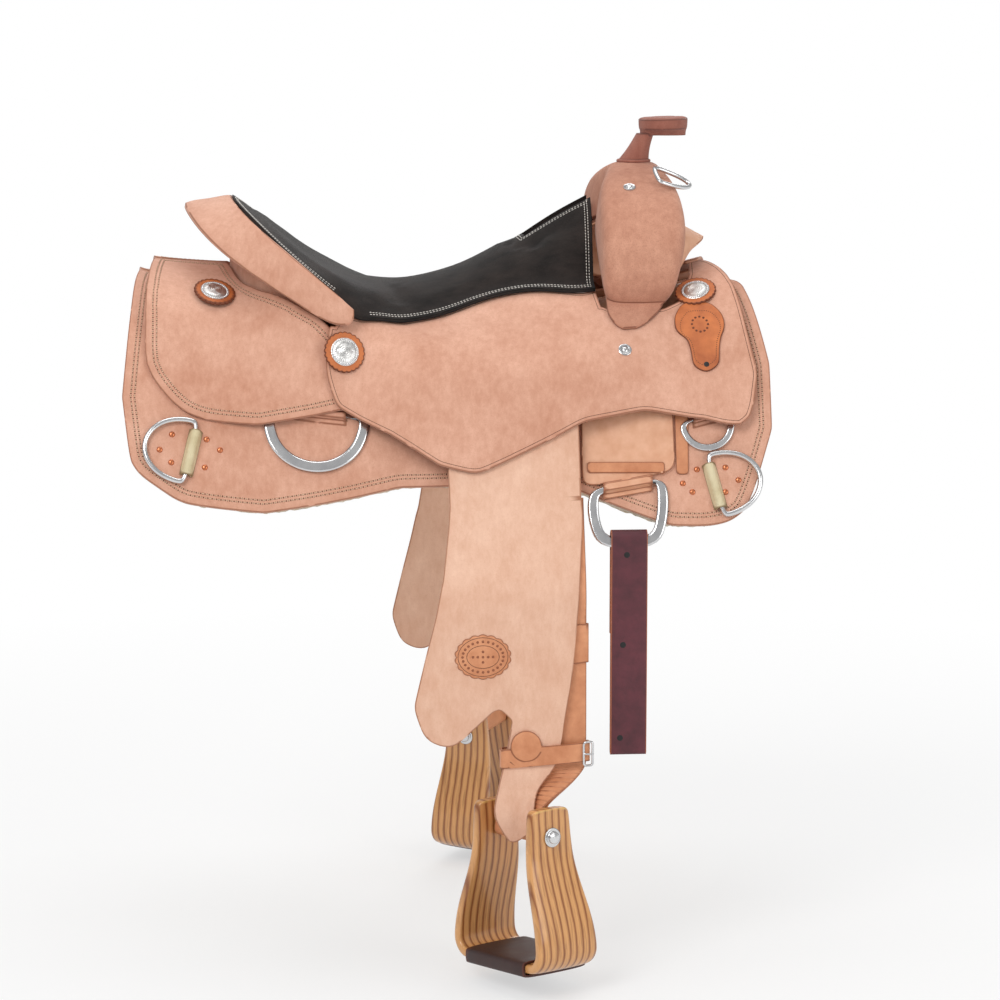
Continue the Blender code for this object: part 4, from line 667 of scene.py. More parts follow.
WOOL = curly_wool()
for tag in SIDES:
    wool = worked(f"wool_{tag}", blank(f"fleece_{tag}"), 3, 0.0)
    outward = [vert.normal.copy() for vert in wool.data.vertices]
    for vert, away in zip(wool.data.vertices, outward):
        lump = noise.noise(vert.co * 170.0) + 0.6 * noise.noise(vert.co * 430.0)
        vert.co += away * (WOOL_LUMP * lump - WOOL_SINK)
    hand_over(wool, WOOL, "saddle", "fleece", f"fleece_{tag}")

# Rigging.
# A leather plate in each skirt carries the cinch dee, with a strip of tan leather over its lower edge and a
# strap beside it. Steel dees hang before and behind, and copper rivets hold the small ones' keepers.


def brushed_metal(name, dull, bright_tone, rough, scratch=0.35):
    """Metal in two near tones, with fine scratches across it."""
    finish, shader, wire, place = new_finish(name)
    smear = cloud(place, 60.0, 3.0)
    line = cloud(place, 500.0, 3.0, 0.6, (1.0, 0.25, 0.25))
    feed(shader, colour=smear.ramp((0.3, 0.0), (0.7, 1.0)).tint(dull, bright_tone), metal=1.0,
         rough=rough + smear * 0.12, normal=dents(line, 0.0002, scratch))
    return finish


STEEL = brushed_metal("polished_steel", (0.602, 0.602, 0.616, 1.0), (0.70, 0.70, 0.70, 1.0), 0.16)
COPPER = brushed_metal("copper_rivets", paint(196, 120, 84), paint(196, 120, 84), 0.28)
PALE = tanned("pale_russet_leather", paint(236, 188, 156), paint(212, 154, 120), paint(160, 100, 70), 0.5)
CREAM = tanned("cream_keeper_leather", paint(224, 212, 178), paint(196, 180, 140), paint(140, 118, 84), 0.5)


def from_the_side(skin, side, x, z):
    """Where a line from that side of the saddle meets it, and which way it faces there."""
    spot, face, _, _ = skin.ray_cast(Vector((x, side * 0.6, z)), Vector((0.0, -side, 0.0)))
    if spot is None:
        spot, face, _, _ = skin.find_nearest(Vector((x, side * 0.3, z)))
    return spot, (face if face.y * side > 0 else -face)


def rounded(corners, radius, steps=4):
    """A closed outline with its corners taken round."""
    out = []
    for k, corner in enumerate(corners):
        here = Vector(corner)
        back, on = Vector(corners[k - 1]) - here, Vector(corners[(k + 1) % len(corners)]) - here
        reach = min(radius, 0.45 * back.length, 0.45 * on.length)
        start, end = here + back.normalized() * reach, here + on.normalized() * reach
        for step in range(steps + 1):
            t = step / steps
            out.append(start * (1 - t) ** 2 + here * 2 * t * (1 - t) + end * t * t)
    return out


LAID_SINK = 0.0008


def laid(name, outline, skin, side, thick, finish, body="saddle", cell=0.004, ease_off=0.0004):
    """A flat piece of leather laid on what is under it, its outline given as seen from the side."""
    edge = []
    for k, here in enumerate(outline):
        there = outline[(k + 1) % len(outline)]
        steps = max(1, round((there - here).length / cell))
        edge += [here.lerp(there, step / steps) for step in range(steps)]
    low = Vector((min(p.x for p in edge), min(p.y for p in edge)))
    high = Vector((max(p.x for p in edge), max(p.y for p in edge)))
    near = nearest_of([p.to_3d() for p in edge])
    points = list(edge)
    for i in range(int((high.x - low.x) / cell) + 1):
        for j in range(int((high.y - low.y) / cell) + 1):
            p = low + Vector(((i + 0.5) * cell, (j + 0.5) * cell))
            if near.find(p.to_3d())[2] > 0.6 * cell:
                points.append(p)
    ring = [(k, (k + 1) % len(edge)) for k in range(len(edge))]
    verts, _, faces, _, _, _ = delaunay_2d_cdt(points, ring, [list(range(len(edge)))], 1, 1e-6)
    shape = bmesh.new()
    tops, lows = [], []
    for p in verts:
        spot, face = from_the_side(skin, side, p.x, p.y)
        tops.append(shape.verts.new(spot + face * thick))
        lows.append(shape.verts.new(spot - face * LAID_SINK))
    for face in faces:
        a = tops[face[0]].co
        turned = (tops[face[1]].co - a).cross(tops[face[2]].co - a).y * side > 0
        order = face if turned else list(reversed(face))
        shape.faces.new([tops[k] for k in order])
        shape.faces.new([lows[k] for k in reversed(order)])
    below = dict(zip(tops, lows))
    for line in [e for e in shape.edges if len(e.link_faces) == 1 and e.verts[0] in below]:
        a, b = line.link_loops[0].vert, line.link_loops[0].link_loop_next.vert
        shape.faces.new([b, a, below[a], below[b]])
    loose = [v for v in shape.verts if not v.link_faces]
    bmesh.ops.delete(shape, geom=loose, context="VERTS")
    piece = worked(name, shape, 0, ease_off)
    shape.free()
    return hand_over(piece, finish, body, "smooth_leather")


def setting_tree():
    """Sets one small domed head on every point, standing up from its face."""
    wire, given = opened_tree("set_heads", "Places", ("Radius", "Height"), "Metal")
    head = bead(wire, 16, 10, 1.0, given["Radius"], given["Radius"], given["Height"])
    spots = wire.node("GeometryNodeMeshToPoints", {}, {"Mesh": given["Places"]})
    return set_out(wire, spots, head, upright(wire), given["Metal"])


HEADS = setting_tree()


def set_heads(name, spots, radius, height, finish, body, slot):
    """Round heads on (spot, up) pairs."""
    from_tree(name, HEADS, spots, [], {"Radius": radius, "Height": height, "Metal": finish}, body)


def bright(name, node, swell=0.0006):
    """A steel ring or dee of round rod, on the body that has its name."""
    piece = worked(name, blank(node, swell=swell), 2, 0.0, math.radians(72.0))
    hand_over(piece, STEEL, node, "bright_steel", node)


FRONT_RIVETS = [(0.2545, -0.1449), (0.2390, -0.1590), (0.2488, -0.1677),
                (0.2848, -0.1428), (0.2979, -0.1554), (0.2836, -0.1676)]
REAR_RIVETS = [(-0.300, -0.1030), (-0.3130, -0.1180), (-0.3010, -0.1310),
               (-0.2640, -0.1090), (-0.2500, -0.1200), (-0.2660, -0.1370)]
RIVET_SIZE = (0.0032, 0.0016)
STRIP_THICK = 0.0014
STRAP_THICK = 0.0020
STRIP = rounded([(0.1380, -0.1370), (0.2200, -0.1370), (0.2200, -0.1480), (0.1380, -0.1480)], 0.003)
STRAP = rounded([(0.2335, -0.0850), (0.2480, -0.0850), (0.2455, -0.1500), (0.2325, -0.1500)], 0.004)
for tag, side in SIDES.items():
    plate = made_up(f"rigging_panel_{tag}", f"rigging_plate_{tag}", PALE, "smooth_leather")
    made_up(f"flank_hanger_{tag}", f"leather_hanger_{tag}", PALE, "smooth_leather")
    laid(f"rigging_strip_{tag}", STRIP, skin_of(plate), side, STRIP_THICK, TAN)
    laid(f"rigging_strap_{tag}", STRAP, skin_of(SKIRTS[tag]), side, STRAP_THICK, TAN)
    under = skin_of(SKIRTS[tag], plate)
    heads = [from_the_side(under, side, x, z) for x, z in FRONT_RIVETS + REAR_RIVETS]
    set_heads(f"copper_rivets_{tag}", heads, *RIVET_SIZE, COPPER, "saddle", "bright_steel")
    for place in ("rear", "front"):
        bright(f"{place}_small_dee_{tag}", f"{place}_ring_{tag}")
        made_up(f"{place}_dee_keeper_{tag}", f"{place}_ring_keeper_{tag}", CREAM, "cream_web")
    for place in ("rigging", "flank", "breast"):
        bright(f"{place}_steel_dee_{tag}", f"{place}_dee_{tag}", 0.0001)

# Rear jockeys.
# The upper flap of roughout leather behind the cantle on each side, held by its concho.
# Two rows of stitches run round it.

JOCKEY_ROWS = (0.0080, 0.0120)
for tag in SIDES:
    jockey, loops = shaped(f"rear_jockey_hide_{tag}", 2, f"rear_jockey_{tag}")
    hand_over(jockey, HIDE, "saddle", "roughout_leather", f"rear_jockey_{tag}")
    double_row(f"jockey_stitches_{tag}", jockey, loops[:1], JOCKEY_ROWS)

# Seat jockeys.
# The long flap of roughout leather under the rider's thigh, cut in one with the front jockey.
# A plain line is creased along its edge.

CREASE_INSET = 0.0038
CREASE_SIZE = (0.0020, 0.0026, 0.0007, 0.0003)
SEAT_JOCKEYS = {}
for tag in SIDES:
    SEAT_JOCKEYS[tag], loops = shaped(f"seat_jockey_hide_{tag}", 2, f"seat_jockey_{tag}")
    hand_over(SEAT_JOCKEYS[tag], HIDE, "saddle", "roughout_leather", f"seat_jockey_{tag}")
    rows = rows_inside(SEAT_JOCKEYS[tag], loops[:1], CREASE_INSET, 0.00005)
    # The creased line: partly the pressed leather's darker colour, partly painted shade in the groove.
    sew(f"jockey_crease_{tag}", rows, AWL_HOLE, "saddle", "roughout_leather", *CREASE_SIZE)

# Seat.
# A black suede seat over foam, held at its edge by two rows of white stitches.
# It meets the cantle roll behind, and is cut out in front for the hand hole.


def black_suede():
    finish, shader, wire, place = new_finish("black_suede")
    rim = wire.node("ShaderNodeAttribute", {"attribute_name": "rim"}, {}, "Fac")
    brushed = cloud(place, 22.0, 4.0, 0.6)
    nap = cloud(place, 1100.0, 3.0, 0.75)
    rubbed = cloud(place, 90.0, 4.0, 0.6, (0.4, 1.0, 1.0))
    tone = (brushed * 0.55 + rubbed * 0.45).ramp((0.36, 0.0), (0.66, 1.0))
    colour = tone.tint(paint(22, 19, 18), paint(48, 41, 38))
    colour = (nap.ramp((0.5, 0.0), (0.8, 1.0)) * 0.3).tint(colour, paint(84, 78, 76))
    colour = ((0.0010 - rim) * 1200.0).held().tint(colour, paint(12, 11, 11))
    normal = dents(nap, 0.0008, 0.6, dents(brushed, 0.002, 0.3))
    feed(shader, colour=colour, rough=0.92 + nap * 0.08, normal=normal)
    shader.inputs["Specular IOR Level"].default_value = 0.2
    shader.inputs["Sheen Weight"].default_value = 0.10
    shader.inputs["Sheen Roughness"].default_value = 0.5
    return finish


SUEDE = black_suede()
WHITE_THREAD = waxed_thread("white_thread", paint(238, 234, 226), paint(190, 184, 176))
PUFF = 4.0
PUFF_FRAMES = 20
MOST_RISE = 0.0035
FLAT_EDGE = 0.010
RISE_OVER = 0.020
SEAT_ROWS = (0.0045, 0.0075)
SEAT_STITCH = (0.0036, 0.0029, 0.0010, 0.0008)


def blown(piece, edges):
    """Blows a pad up a little from its blank, less towards its sewn edge."""
    near = nearest_of([spot for loop in edges for spot, _, _ in loop])
    start = [vert.co.copy() for vert in piece.data.vertices]
    blow = piece.modifiers.new("blow", "CLOTH")
    blow.settings.quality = 6
    blow.settings.mass = 0.25
    blow.settings.tension_stiffness = blow.settings.compression_stiffness = 12.0
    blow.settings.bending_stiffness = 1.2
    blow.settings.use_pressure = True
    blow.settings.uniform_pressure_force = PUFF
    blow.settings.effector_weights.gravity = 0.0
    blow.point_cache.frame_start, blow.point_cache.frame_end = 1, PUFF_FRAMES
    for frame_number in range(1, PUFF_FRAMES + 1):
        bpy.context.scene.frame_set(frame_number)
    settled(piece)
    bpy.context.scene.frame_set(1)
    for vert, spot in zip(piece.data.vertices, start):
        room = MOST_RISE * max(0.0, min(1.0, (near.find(spot)[2] - FLAT_EDGE) / RISE_OVER))
        move = vert.co - spot
        if move.length > room:
            move = move.normalized() * room
        vert.co = spot + move


seat, loops = shaped("suede_seat", 2, "seat_pad")
seat_edges = [loop for loop in loops if len(loop) > 30]
blown(seat, seat_edges)
hand_over(seat, SUEDE, "saddle", "suede", "seat_pad")
for k, inset in enumerate(SEAT_ROWS):
    rows = rows_inside(seat, seat_edges, inset, 0.0002)
    sew(f"seat_stitches_{k + 1}", rows, WHITE_THREAD, "saddle", "suede", *SEAT_STITCH)

# Cantle roll.
# A thick padded roll round the top of the cantle, covered in roughout leather.
# It closes the seat behind.

made_up("cantle_roll_hide", "cantle_roll", HIDE, "roughout_leather")

# Fork, gullet and horn.
# The fork is covered in roughout leather over the tree, with a binding in the gullet and a steel loop.
# The horn is wrapped in layers of leather under a round cap, with a welt round its foot.

cover = made_up("fork_hide", "fork_cover", HIDE_FORK, "roughout_leather")
made_up("gullet_binding", "gullet_cover", PALE, "smooth_leather")
HIDE_HORN = roughout("roughout_horn", paint(184, 124, 106), paint(140, 84, 70), paint(116, 68, 56), 0.9)
made_up("horn_wrap", "horn", HIDE_HORN, "roughout_leather")
bright("rope_strap_loop", "fork_loop")
ROD_SIDES = 12
WELT_RADIUS = 0.0018


def oval(count, wide, tall):
    """Spots round an oval that is this wide and tall from its middle."""
    turns = [2.0 * math.pi * k / count for k in range(count)]
    return [Vector((wide * math.cos(a), tall * math.sin(a))) for a in turns]


def bent_rod(name, line, radius, finish, body, slot, closed=True):
    """A round rod or welt swept along a line of spots."""
    shape = bmesh.new()
    rings = []
    count = len(line)
    for k, spot in enumerate(line):
        back = line[k - 1] if closed or k else spot
        on = line[(k + 1) % count] if closed or k + 1 < count else spot
        way = (on - back).normalized()
        if not rings:
            across = way.orthogonal().normalized()
        across = (across - way * across.dot(way)).normalized()
        over = way.cross(across)
        rings.append([shape.verts.new(spot + across * p.x + over * p.y)
                      for p in oval(ROD_SIDES, radius, radius)])
    pairs = list(zip(rings, rings[1:])) + ([(rings[-1], rings[0])] if closed else [])
    for one, two in pairs:
        for m in range(ROD_SIDES):
            n = (m + 1) % ROD_SIDES
            shape.faces.new((one[m], one[n], two[n], two[m]))
    if not closed:
        shape.faces.new(list(reversed(rings[0])))
        shape.faces.new(rings[-1])
    bmesh.ops.recalc_face_normals(shape, faces=shape.faces)
    piece = worked(name, shape, 0, 0.0, ROUND_KEEN)
    shape.free()
    hand_over(piece, finish, body, slot)


FOOT_HIGH = 0.006
foot = [v.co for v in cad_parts["horn"].data.vertices]
lowest = min(p.z for p in foot)
foot = [p for p in foot if p.z < lowest + FOOT_HIGH]
heel = sum(foot, Vector()) / len(foot)
wide = max((p - heel).to_2d().length for p in foot)
cover_skin = skin_of(cover)
welt = [heel + p.to_3d() for p in oval(48, wide, wide)]
welt = [(cover_skin.find_nearest(spot)[0] + spot) / 2.0 for spot in welt]
bent_rod("horn_welt", welt, WELT_RADIUS, HIDE_HORN, "saddle", "roughout_leather")

# Fenders.
# One hide from under the seat jockey down to the ankle, creased where it comes out, its two blanks joined
# there into one piece. Behind it hangs the stirrup leather in its sleeve, and the hobble strap holds the two
# together.

HIDE_FENDER = roughout("roughout_fender", paint(244, 206, 182), paint(214, 164, 136), paint(168, 114, 86),
                       0.6)


def cut_end(face, crease):
    """Whether a face closes one half of the hide where it meets the other at the crease."""
    here = face.calc_center_median() - crease
    return abs(face.normal.z) > 0.8 and abs(here.dot(face.normal)) < 0.0012 and here.length < 0.12


FENDERS = {}
CREASE_PLACE = (0.08, 0.21645, -0.17254)
for tag, side in SIDES.items():
    crease = Vector((CREASE_PLACE[0], side * CREASE_PLACE[1], CREASE_PLACE[2]))
    form = blank(f"fender_top_{tag}", f"fender_{tag}")
    ends = [face for face in form.faces if cut_end(face, crease)]
    bmesh.ops.delete(form, geom=ends, context="FACES_ONLY")
    bmesh.ops.bridge_loops(form, edges=[edge for edge in form.edges if len(edge.link_faces) == 1])
    hide = worked(f"fender_hide_{tag}", form)
    form.free()
    hide.data.materials.clear()
    hide.data.materials.append(HIDE_FENDER)
    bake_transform(hide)
    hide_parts(f"fender_top_{tag}", f"fender_{tag}")
    FENDERS[tag] = hide
    lower = f"fender_lower_{tag}"
    made_up(f"stirrup_strap_{tag}", f"stirrup_leather_{tag}", TAN, "smooth_leather", lower, pair=44.0)
    made_up(f"strap_sleeve_{tag}", f"sleeve_{tag}", TAN, "smooth_leather", f"sleeve_{tag}")
    made_up(f"hobble_leather_{tag}", f"hobble_strap_{tag}", TAN, "smooth_leather", lower)

# Stirrups.
# Bent from strips of ash and walnut glued in a stack, varnished, with a leather tread and a steel bolt.


def bent_wood():
    finish, shader, wire, place = new_finish("bent_stirrup_wood")
    across = wire.node("ShaderNodeAttribute", {"attribute_name": "across"}, {}, "Fac")
    along = wire.node("ShaderNodeAttribute", {"attribute_name": "along"}, {}, "Vector")
    wave = cloud(place, 22.0, 3.0)
    grain = along.node("ShaderNodeTexNoise", {},
                       {"Vector": along, "Scale": 1.0, "Detail": 4.0, "Roughness": 0.65})
    ply = across * 9.0 + wave * 0.35 + grain * 0.25
    stripe = ply.sum("FRACT", ply)
    band = stripe.ramp((0.0, 0.1), (0.2, 0.9), (0.6, 1.0), (0.82, 0.55), (0.93, 0.0), (1.0, 0.1))
    colour = band.tint(paint(138, 78, 36), paint(218, 160, 100))
    colour = (grain.ramp((0.35, 1.0), (0.5, 0.0)) * 0.35).tint(colour, paint(112, 62, 26))
    rim = wire.node("ShaderNodeAttribute", {"attribute_name": "rim"}, {}, "Fac")
    colour = (((0.0022 - rim) * 600.0).held() * 0.6).tint(colour, paint(232, 190, 112))
    feed(shader, colour=colour, rough=0.26 + grain * 0.16, coat=0.35 + wave * 0.1,
         normal=dents(grain, 0.0004, 0.25))
    shader.inputs["Coat Roughness"].default_value = 0.12
    return finish


WOOD = bent_wood()
TREAD_LEATHER = tanned("dark_tread_leather", paint(64, 38, 34), paint(42, 22, 22), paint(96, 44, 30), 0.38)
STIRRUP_DEEP = 0.078
BOLT_PLACE = (0.063, 0.25262, -0.52082)
BOLT_AXLE = (0.54338, 0.835925, 0.077256)
FRAME_DOWN = (0.0261, 0.0751, -0.9968)
for tag, side in SIDES.items():
    centre, axle, down = (Vector((x, y * side, z)) for x, y, z in (BOLT_PLACE, BOLT_AXLE, FRAME_DOWN))
    deep = axle.cross(down).normalized()
    stirrup = f"stirrup_{tag}"
    wood = worked(f"stirrup_wood_{tag}", blank(f"stirrup_frame_{tag}"), 2, 0.0008)
    spots = [vert.co - centre for vert in wood.data.vertices]
    across = wood.data.attributes.new("across", "FLOAT", "POINT")
    across.data.foreach_set("value", [p.dot(deep) / STIRRUP_DEEP + 0.5 for p in spots])
    along = wood.data.attributes.new("along", "FLOAT_VECTOR", "POINT")
    along.data.foreach_set("vector", [
        c for p in spots for c in (p.dot(deep) * 420.0, p.dot(axle) * 40.0, p.dot(down) * 24.0)])
    hand_over(wood, WOOD, stirrup, "stirrup_wood", f"stirrup_frame_{tag}")
    made_up(f"tread_leather_{tag}", f"stirrup_tread_{tag}", TREAD_LEATHER, "dark_leather", stirrup)
    made_up(f"stirrup_bolt_steel_{tag}", f"stirrup_bolt_{tag}", STEEL, "bright_steel", stirrup, ease_off=0.0)

# Off billet.
# A doubled strap of burgundy latigo leather through the right cinch dee, punched for the cinch buckle.

LATIGO = tanned("burgundy_latigo", paint(104, 46, 56), paint(70, 28, 36), paint(176, 104, 66), 0.46)
billet = made_up("latigo_billet", "off_billet", LATIGO, "latigo_leather", "off_billet")

# Conchos.
# Silver discs with a beaded rim and a simple cut pattern, each on a scalloped rosette of leather.
# A screw goes through both.


def cut_silver():
    finish, shader, wire, place = new_finish("cut_silver")
    face = wire.node("ShaderNodeAttribute", {"attribute_name": "disc"}, {}, "Vector")
    parts = wire.node("ShaderNodeSeparateXYZ", {}, {0: face})
    u, v = Wire(wire.tree, parts.socket.node.outputs[0]), Wire(wire.tree, parts.socket.node.outputs[1])
    away = (u * u + v * v).sum("SQRT", u * u + v * v)
    turn = u.sum("ARCTAN2", v, u)
    petals = (turn * 8.0).sum("SINE", turn * 8.0) * 0.5 + 0.5
    rays = (turn * 32.0).sum("SINE", turn * 32.0) * 0.5 + 0.5
    rings = (away * 44.0).sum("SINE", away * 44.0) * 0.5 + 0.5
    inner = ((0.62 - away - petals * 0.16) * 18.0).held()
    cut = inner * rings * 0.8 + (1.0 - inner) * rays * 0.5
    tarnish = cloud(place, 240.0, 3.0)
    colour = (cut * 0.45 + tarnish.ramp((0.35, 0.4), (0.6, 0.0)) * 0.6).held().tint(
        (0.86, 0.85, 0.83, 1.0), (0.34, 0.33, 0.32, 1.0))
    feed(shader, colour=colour, rough=0.22 + tarnish * 0.14, metal=1.0, normal=dents(1.0 - cut, 0.0006, 0.6))
    return finish


SILVER = cut_silver()
ROSETTE = tanned("orange_rosette_leather", paint(212, 124, 68), paint(168, 88, 44), paint(104, 50, 24), 0.46)
SCALLOPS = 24
BEADS = 40


def lathe(profile, steps, ripple=None):
    """A closed turned form about +Z: (height, radius) stops, from the middle below to the middle above."""
    shape = bmesh.new()
    rings = []
    for height, radius in profile:
        if radius == 0.0:
            rings.append([shape.verts.new((0.0, 0.0, height))])
            continue
        ring = []
        for k in range(steps):
            angle = 2.0 * math.pi * k / steps
            r = radius * (ripple(angle) if ripple else 1.0)
            ring.append(shape.verts.new((r * math.cos(angle), r * math.sin(angle), height)))
        rings.append(ring)
    for one, two in zip(rings, rings[1:]):
        for k in range(steps):
            m = (k + 1) % steps
            corners = [one[k % len(one)], one[m % len(one)], two[m % len(two)], two[k % len(two)]]
            shape.faces.new(list(dict.fromkeys(corners)))
    bmesh.ops.recalc_face_normals(shape, faces=shape.faces)
    return shape


def disc_frame(node, side):
    """Middle, way out and size of a round blank, from its points alone."""
    points = [v.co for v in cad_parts[node].data.vertices]
    middle = sum(points, Vector()) / len(points)
    longest = max(points, key=lambda p: (p - middle).length)
    spoke = (longest - middle).normalized()
    other = max(points, key=lambda p: ((p - middle) - spoke * (p - middle).dot(spoke)).length)
    out = spoke.cross(other - middle).normalized()
    for _ in range(3):
        flat = [p for p in points if (p - middle).length > 0.6 * (longest - middle).length]
        total = Vector()
        for k in range(len(flat)):
            a, b = flat[k] - middle, flat[(k * 7 + 3) % len(flat)] - middle
            n = a.cross(b)
            total += n if n.dot(out) > 0 else -n
        out = total.normalized()
    if out.y * side < 0:
        out.negate()
    heights = [(p - middle).dot(out) for p in points]
    radius = max(((p - middle) - out * (p - middle).dot(out)).length for p in points)
    return middle, out, min(heights), max(heights), radius


def set_at(shape, middle, out):
    """Moves a turned form to its place, its axis out, and tells how it went."""
    across = Vector((0.0, 0.0, 1.0)).cross(out).normalized()
    turn = Matrix((across, out.cross(across), out)).transposed().to_4x4()
    where = Matrix.Translation(middle) @ turn
    bmesh.ops.transform(shape, matrix=where, verts=shape.verts)
    return where


def scallop(angle):
    """The share of its radius that a rosette has there."""
    return 0.945 + 0.055 * abs(math.sin(angle * SCALLOPS / 2.0))


ROSETTE_DEEP = 0.0022
SILVER_HIGH = 0.0034
SILVER_SHARE = 0.68
BEAD_SHARE = 0.895
for tag, side in SIDES.items():
    for place in ("rear", "middle", "front"):
        node = f"{place}_concho_{tag}"
        middle, out, low, high, radius = disc_frame(node, side)
        top = high - SILVER_HIGH
        petal = lathe([(low, 0.0), (low, 0.35 * radius), (top - ROSETTE_DEEP, 0.40 * radius),
                       (top - ROSETTE_DEEP, radius), (top - 0.0004, radius),
                       (top, 0.985 * radius), (top, 0.0)], 6 * SCALLOPS, scallop)
        set_at(petal, middle, out)
        rosette = worked(f"{place}_rosette_{tag}", petal, 0, 0.0)
        petal.free()
        hand_over(rosette, ROSETTE, "saddle", "smooth_leather")
        disc_r = SILVER_SHARE * radius
        dome = [(-0.0002, 0.0), (-0.0002, 1.0), (0.0010, 1.0), (0.0013, 0.97), (0.0009, 0.93), (0.0009, 0.86),
                (0.0014, 0.82), (0.0022, 0.66), (0.0029, 0.44), (0.0032, 0.22), (0.0033, 0.0)]
        disc = lathe([(top + high_up, share * disc_r) for high_up, share in dome], 64)
        where = set_at(disc, middle, out)
        silver = worked(f"{place}_silver_{tag}", disc, 0, 0.0, ROUND_KEEN)
        disc.free()
        back = where.inverted()
        face = silver.data.attributes.new("disc", "FLOAT_VECTOR", "POINT")
        flat = [(back @ vert.co) / disc_r for vert in silver.data.vertices]
        face.data.foreach_set("vector", [c for p in flat for c in (p.x, p.y, 0.0)])
        hand_over(silver, SILVER, "saddle", "silver", node)
        ring = oval(BEADS, BEAD_SHARE * disc_r, BEAD_SHARE * disc_r)
        beads = [(where @ Vector((p.x, p.y, top + 0.0010)), out) for p in ring]
        set_heads(f"{place}_beads_{tag}", beads, 0.00115, 0.0009, STEEL, "saddle", "silver")

# Screws.
# A steel screw in a round ferrule holds the fork cover and the jockey to the tree on each side.
# Both are turned steel.


def screw(name, spot, out, radius):
    """A screw's domed head, sunk in its ferrule."""
    ferrule = lathe([(-0.0010, 0.0), (-0.0010, radius), (0.0010, radius), (0.0016, 0.84 * radius),
                     (0.0012, 0.66 * radius), (0.0004, 0.62 * radius), (0.0004, 0.56 * radius),
                     (0.0014, 0.50 * radius), (0.0022, 0.26 * radius), (0.0024, 0.0)], 40)
    set_at(ferrule, spot, out)
    piece = worked(name, ferrule, 0, 0.0, ROUND_KEEN)
    ferrule.free()
    hand_over(piece, STEEL, "saddle", "bright_steel")


FORK_SCREW = (0.1940, 0.0817, 0.1479)
FORK_SCREW_RADIUS = 0.0066
JOCKEY_SCREW = (0.1815, -0.0210)
JOCKEY_SCREW_RADIUS = 0.0070
for tag, side in SIDES.items():
    x, y, z = FORK_SCREW
    spot, face, _, _ = cover_skin.find_nearest(Vector((x, side * y, z)))
    screw(f"fork_screw_{tag}", spot, face, FORK_SCREW_RADIUS)
    spot, face = from_the_side(skin_of(SEAT_JOCKEYS[tag]), side, *JOCKEY_SCREW)
    screw(f"jockey_screw_{tag}", spot, face, JOCKEY_SCREW_RADIUS)

# Tongues.
# A shaped tongue of orange leather hangs from each front concho, lobed twice, with a hole at its tip.
# It is tooled with a dotted line and a ring of beads.

# Black discs laid in the holes of the tongues and the billet: painted shade inside each hole.
HOLE_SHADE = tanned("painted_hole_shade", paint(44, 40, 40), paint(26, 24, 24), paint(16, 14, 14), 0.42)
TONGUE = [(0.2480, 0.0240), (0.2370, 0.0100), (0.2375, -0.0030), (0.2500, -0.0120), (0.2525, -0.0230),
          (0.2540, -0.0390), (0.2680, -0.0455), (0.2820, -0.0370), (0.2830, -0.0220), (0.2850, -0.0100),
          (0.2910, 0.0020), (0.2890, 0.0140), (0.2780, 0.0250)]
TONGUE_LINE = rounded(TONGUE, 0.009, 5)
TOOLED_SHARE = 0.80
TOOLED_LINE = (0.0024, 0.0012, 0.0012, 0.0004)
TONGUE_HOLE = (0.2680, -0.0360)
RING_MIDDLE = Vector((0.2640, 0.0045))
for tag, side in SIDES.items():
    tongue = laid(f"concho_tongue_{tag}", TONGUE_LINE, skin_of(SEAT_JOCKEYS[tag]), side, 0.0024, ROSETTE,
                  cell=0.003)
    over = skin_of(tongue)
    middle = sum(TONGUE_LINE, Vector((0.0, 0.0))) / len(TONGUE_LINE)
    inner = [middle + (p - middle) * TOOLED_SHARE for p in TONGUE_LINE]
    row = [from_the_side(over, side, p.x, p.y) for p in inner + inner[:1]]
    # The tooled dots: partly the pressed leather's darker colour, partly painted shade in each dent.
    sew(f"tongue_tooling_{tag}", [row], AWL_HOLE, "saddle", "smooth_leather", *TOOLED_LINE)
    # The hole is a black disc on the tongue: painted shade.
    hole = [from_the_side(over, side, *TONGUE_HOLE)]
    set_heads(f"tongue_hole_{tag}", hole, 0.0030, 0.0003, HOLE_SHADE, "saddle", "smooth_leather")
    ring = [from_the_side(over, side, *(RING_MIDDLE + p)) for p in oval(12, 0.0085, 0.0075)]
    set_heads(f"tongue_beads_{tag}", ring, 0.0013, 0.0006, ROSETTE, "saddle", "smooth_leather")

# Fender stamps.
# A plain oval with a scalloped border is pressed into the hide of each fender above its toe.
# Two tooled lines run round it, with dots between them and in its middle.

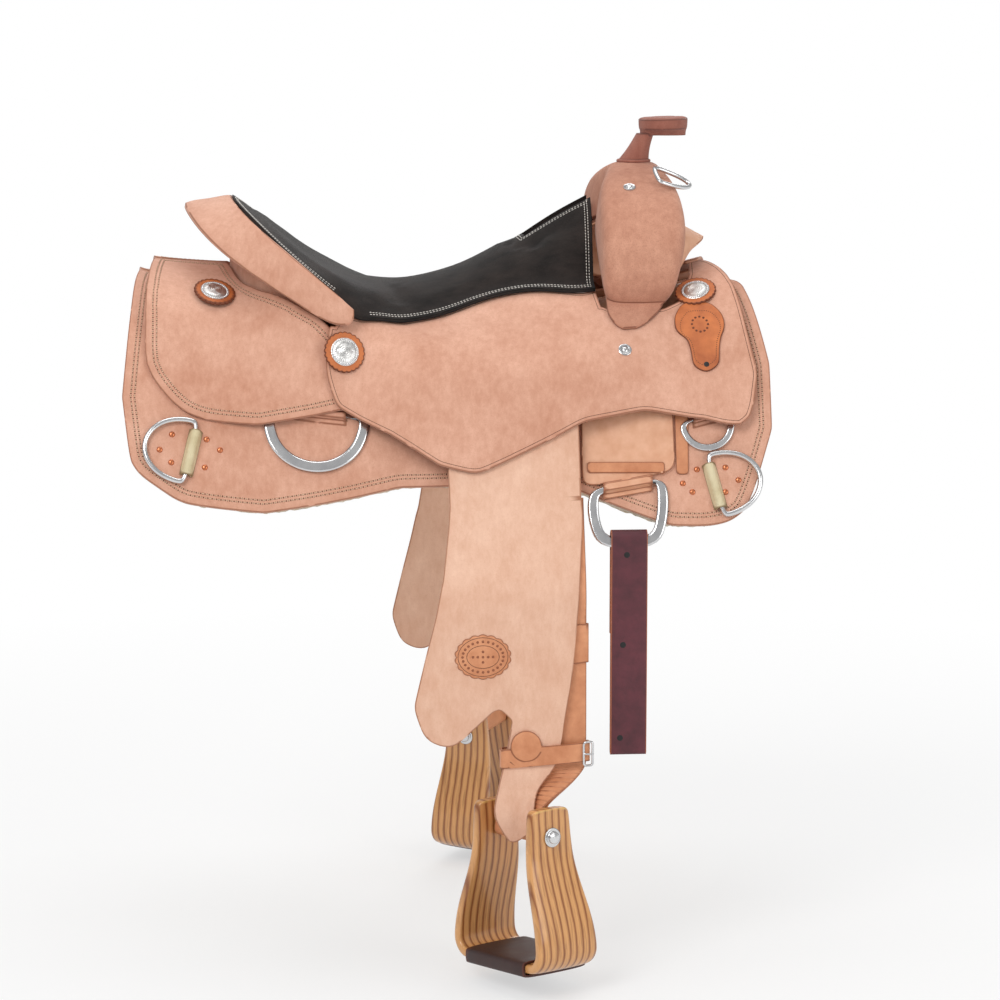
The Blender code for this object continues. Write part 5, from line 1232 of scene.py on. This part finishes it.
HEART = Vector((0.0219, -0.3314))
STAMP_SCALLOPS = 18
STAMP_STEPS = 144
STAMP_LINE = (0.0016, 0.0020, 0.0008, 0.0004)
HEART_DOTS = ((0.0, 0.0), (0.0055, 0.0), (-0.0055, 0.0), (0.0, 0.0055), (0.0, -0.0055),
              (0.0105, 0.0), (-0.0105, 0.0))
scalloped = []
for k, p in enumerate(oval(STAMP_STEPS, 0.0300, 0.0240)):
    wave = abs(math.sin(math.pi * STAMP_SCALLOPS * k / STAMP_STEPS))
    scalloped.append(HEART + p * (0.94 + 0.06 * wave))
for tag, side in SIDES.items():
    lower = f"fender_lower_{tag}"
    under = skin_of(FENDERS[tag])
    stamp = laid(f"oval_stamp_{tag}", scalloped, under, side, 0.0007, TAN, lower, 0.003, 0.0002)
    over = skin_of(stamp)
    for k, (wide, tall) in enumerate(((0.0262, 0.0205), (0.0170, 0.0120))):
        line = [HEART + p for p in oval(72, wide, tall)]
        row = [from_the_side(over, side, p.x, p.y) for p in line + line[:1]]
        # The tooled lines: partly the pressed leather's darker colour, partly painted shade in the groove.
        sew(f"oval_line_{k + 1}_{tag}", [row], AWL_HOLE, lower, "smooth_leather", *STAMP_LINE)
    spots = [HEART + p for p in oval(24, 0.0215, 0.0162)] + [HEART + Vector(dot) for dot in HEART_DOTS]
    dots = [from_the_side(over, side, p.x, p.y) for p in spots]
    set_heads(f"oval_dots_{tag}", dots, 0.0014, 0.0006, TAN, lower, "smooth_leather")

# Hobble buckles.
# A small steel buckle closes each hobble strap at its front edge.
# It is a loop of bent rod with a tongue of thinner rod.

BUCKLE = rounded([(0.1275, -0.4230), (0.1370, -0.4225), (0.1370, -0.4480), (0.1275, -0.4485)], 0.003)
BUCKLE_OUT = 0.2645
BUCKLE_TONGUE = ((0.1275, 0.2650), (0.1330, 0.2665), (0.1375, 0.2660))
TONGUE_Z = -0.4355
for tag, side in SIDES.items():
    lower = f"fender_lower_{tag}"
    loop = [Vector((p.x, side * BUCKLE_OUT, p.y)) for p in BUCKLE]
    bent_rod(f"hobble_buckle_{tag}", loop, 0.0013, STEEL, lower, "bright_steel")
    tongue = [Vector((x, side * y, TONGUE_Z)) for x, y in BUCKLE_TONGUE]
    bent_rod(f"buckle_tongue_{tag}", tongue, 0.0010, STEEL, lower, "bright_steel", False)

# Punched holes.
# Three holes down the billet take the cinch buckle's tongue.
# They are punched through both plies.

PUNCHED = [(0.1762, -0.2299), (0.1725, -0.3265), (0.1699, -0.4273)]
under = skin_of(billet)
# Each punched hole is a black disc on the billet: painted shade.
holes = [from_the_side(under, -1.0, x, z) for x, z in PUNCHED]
set_heads("billet_holes", holes, 0.0032, 0.0003, HOLE_SHADE, "off_billet", "latigo_leather")
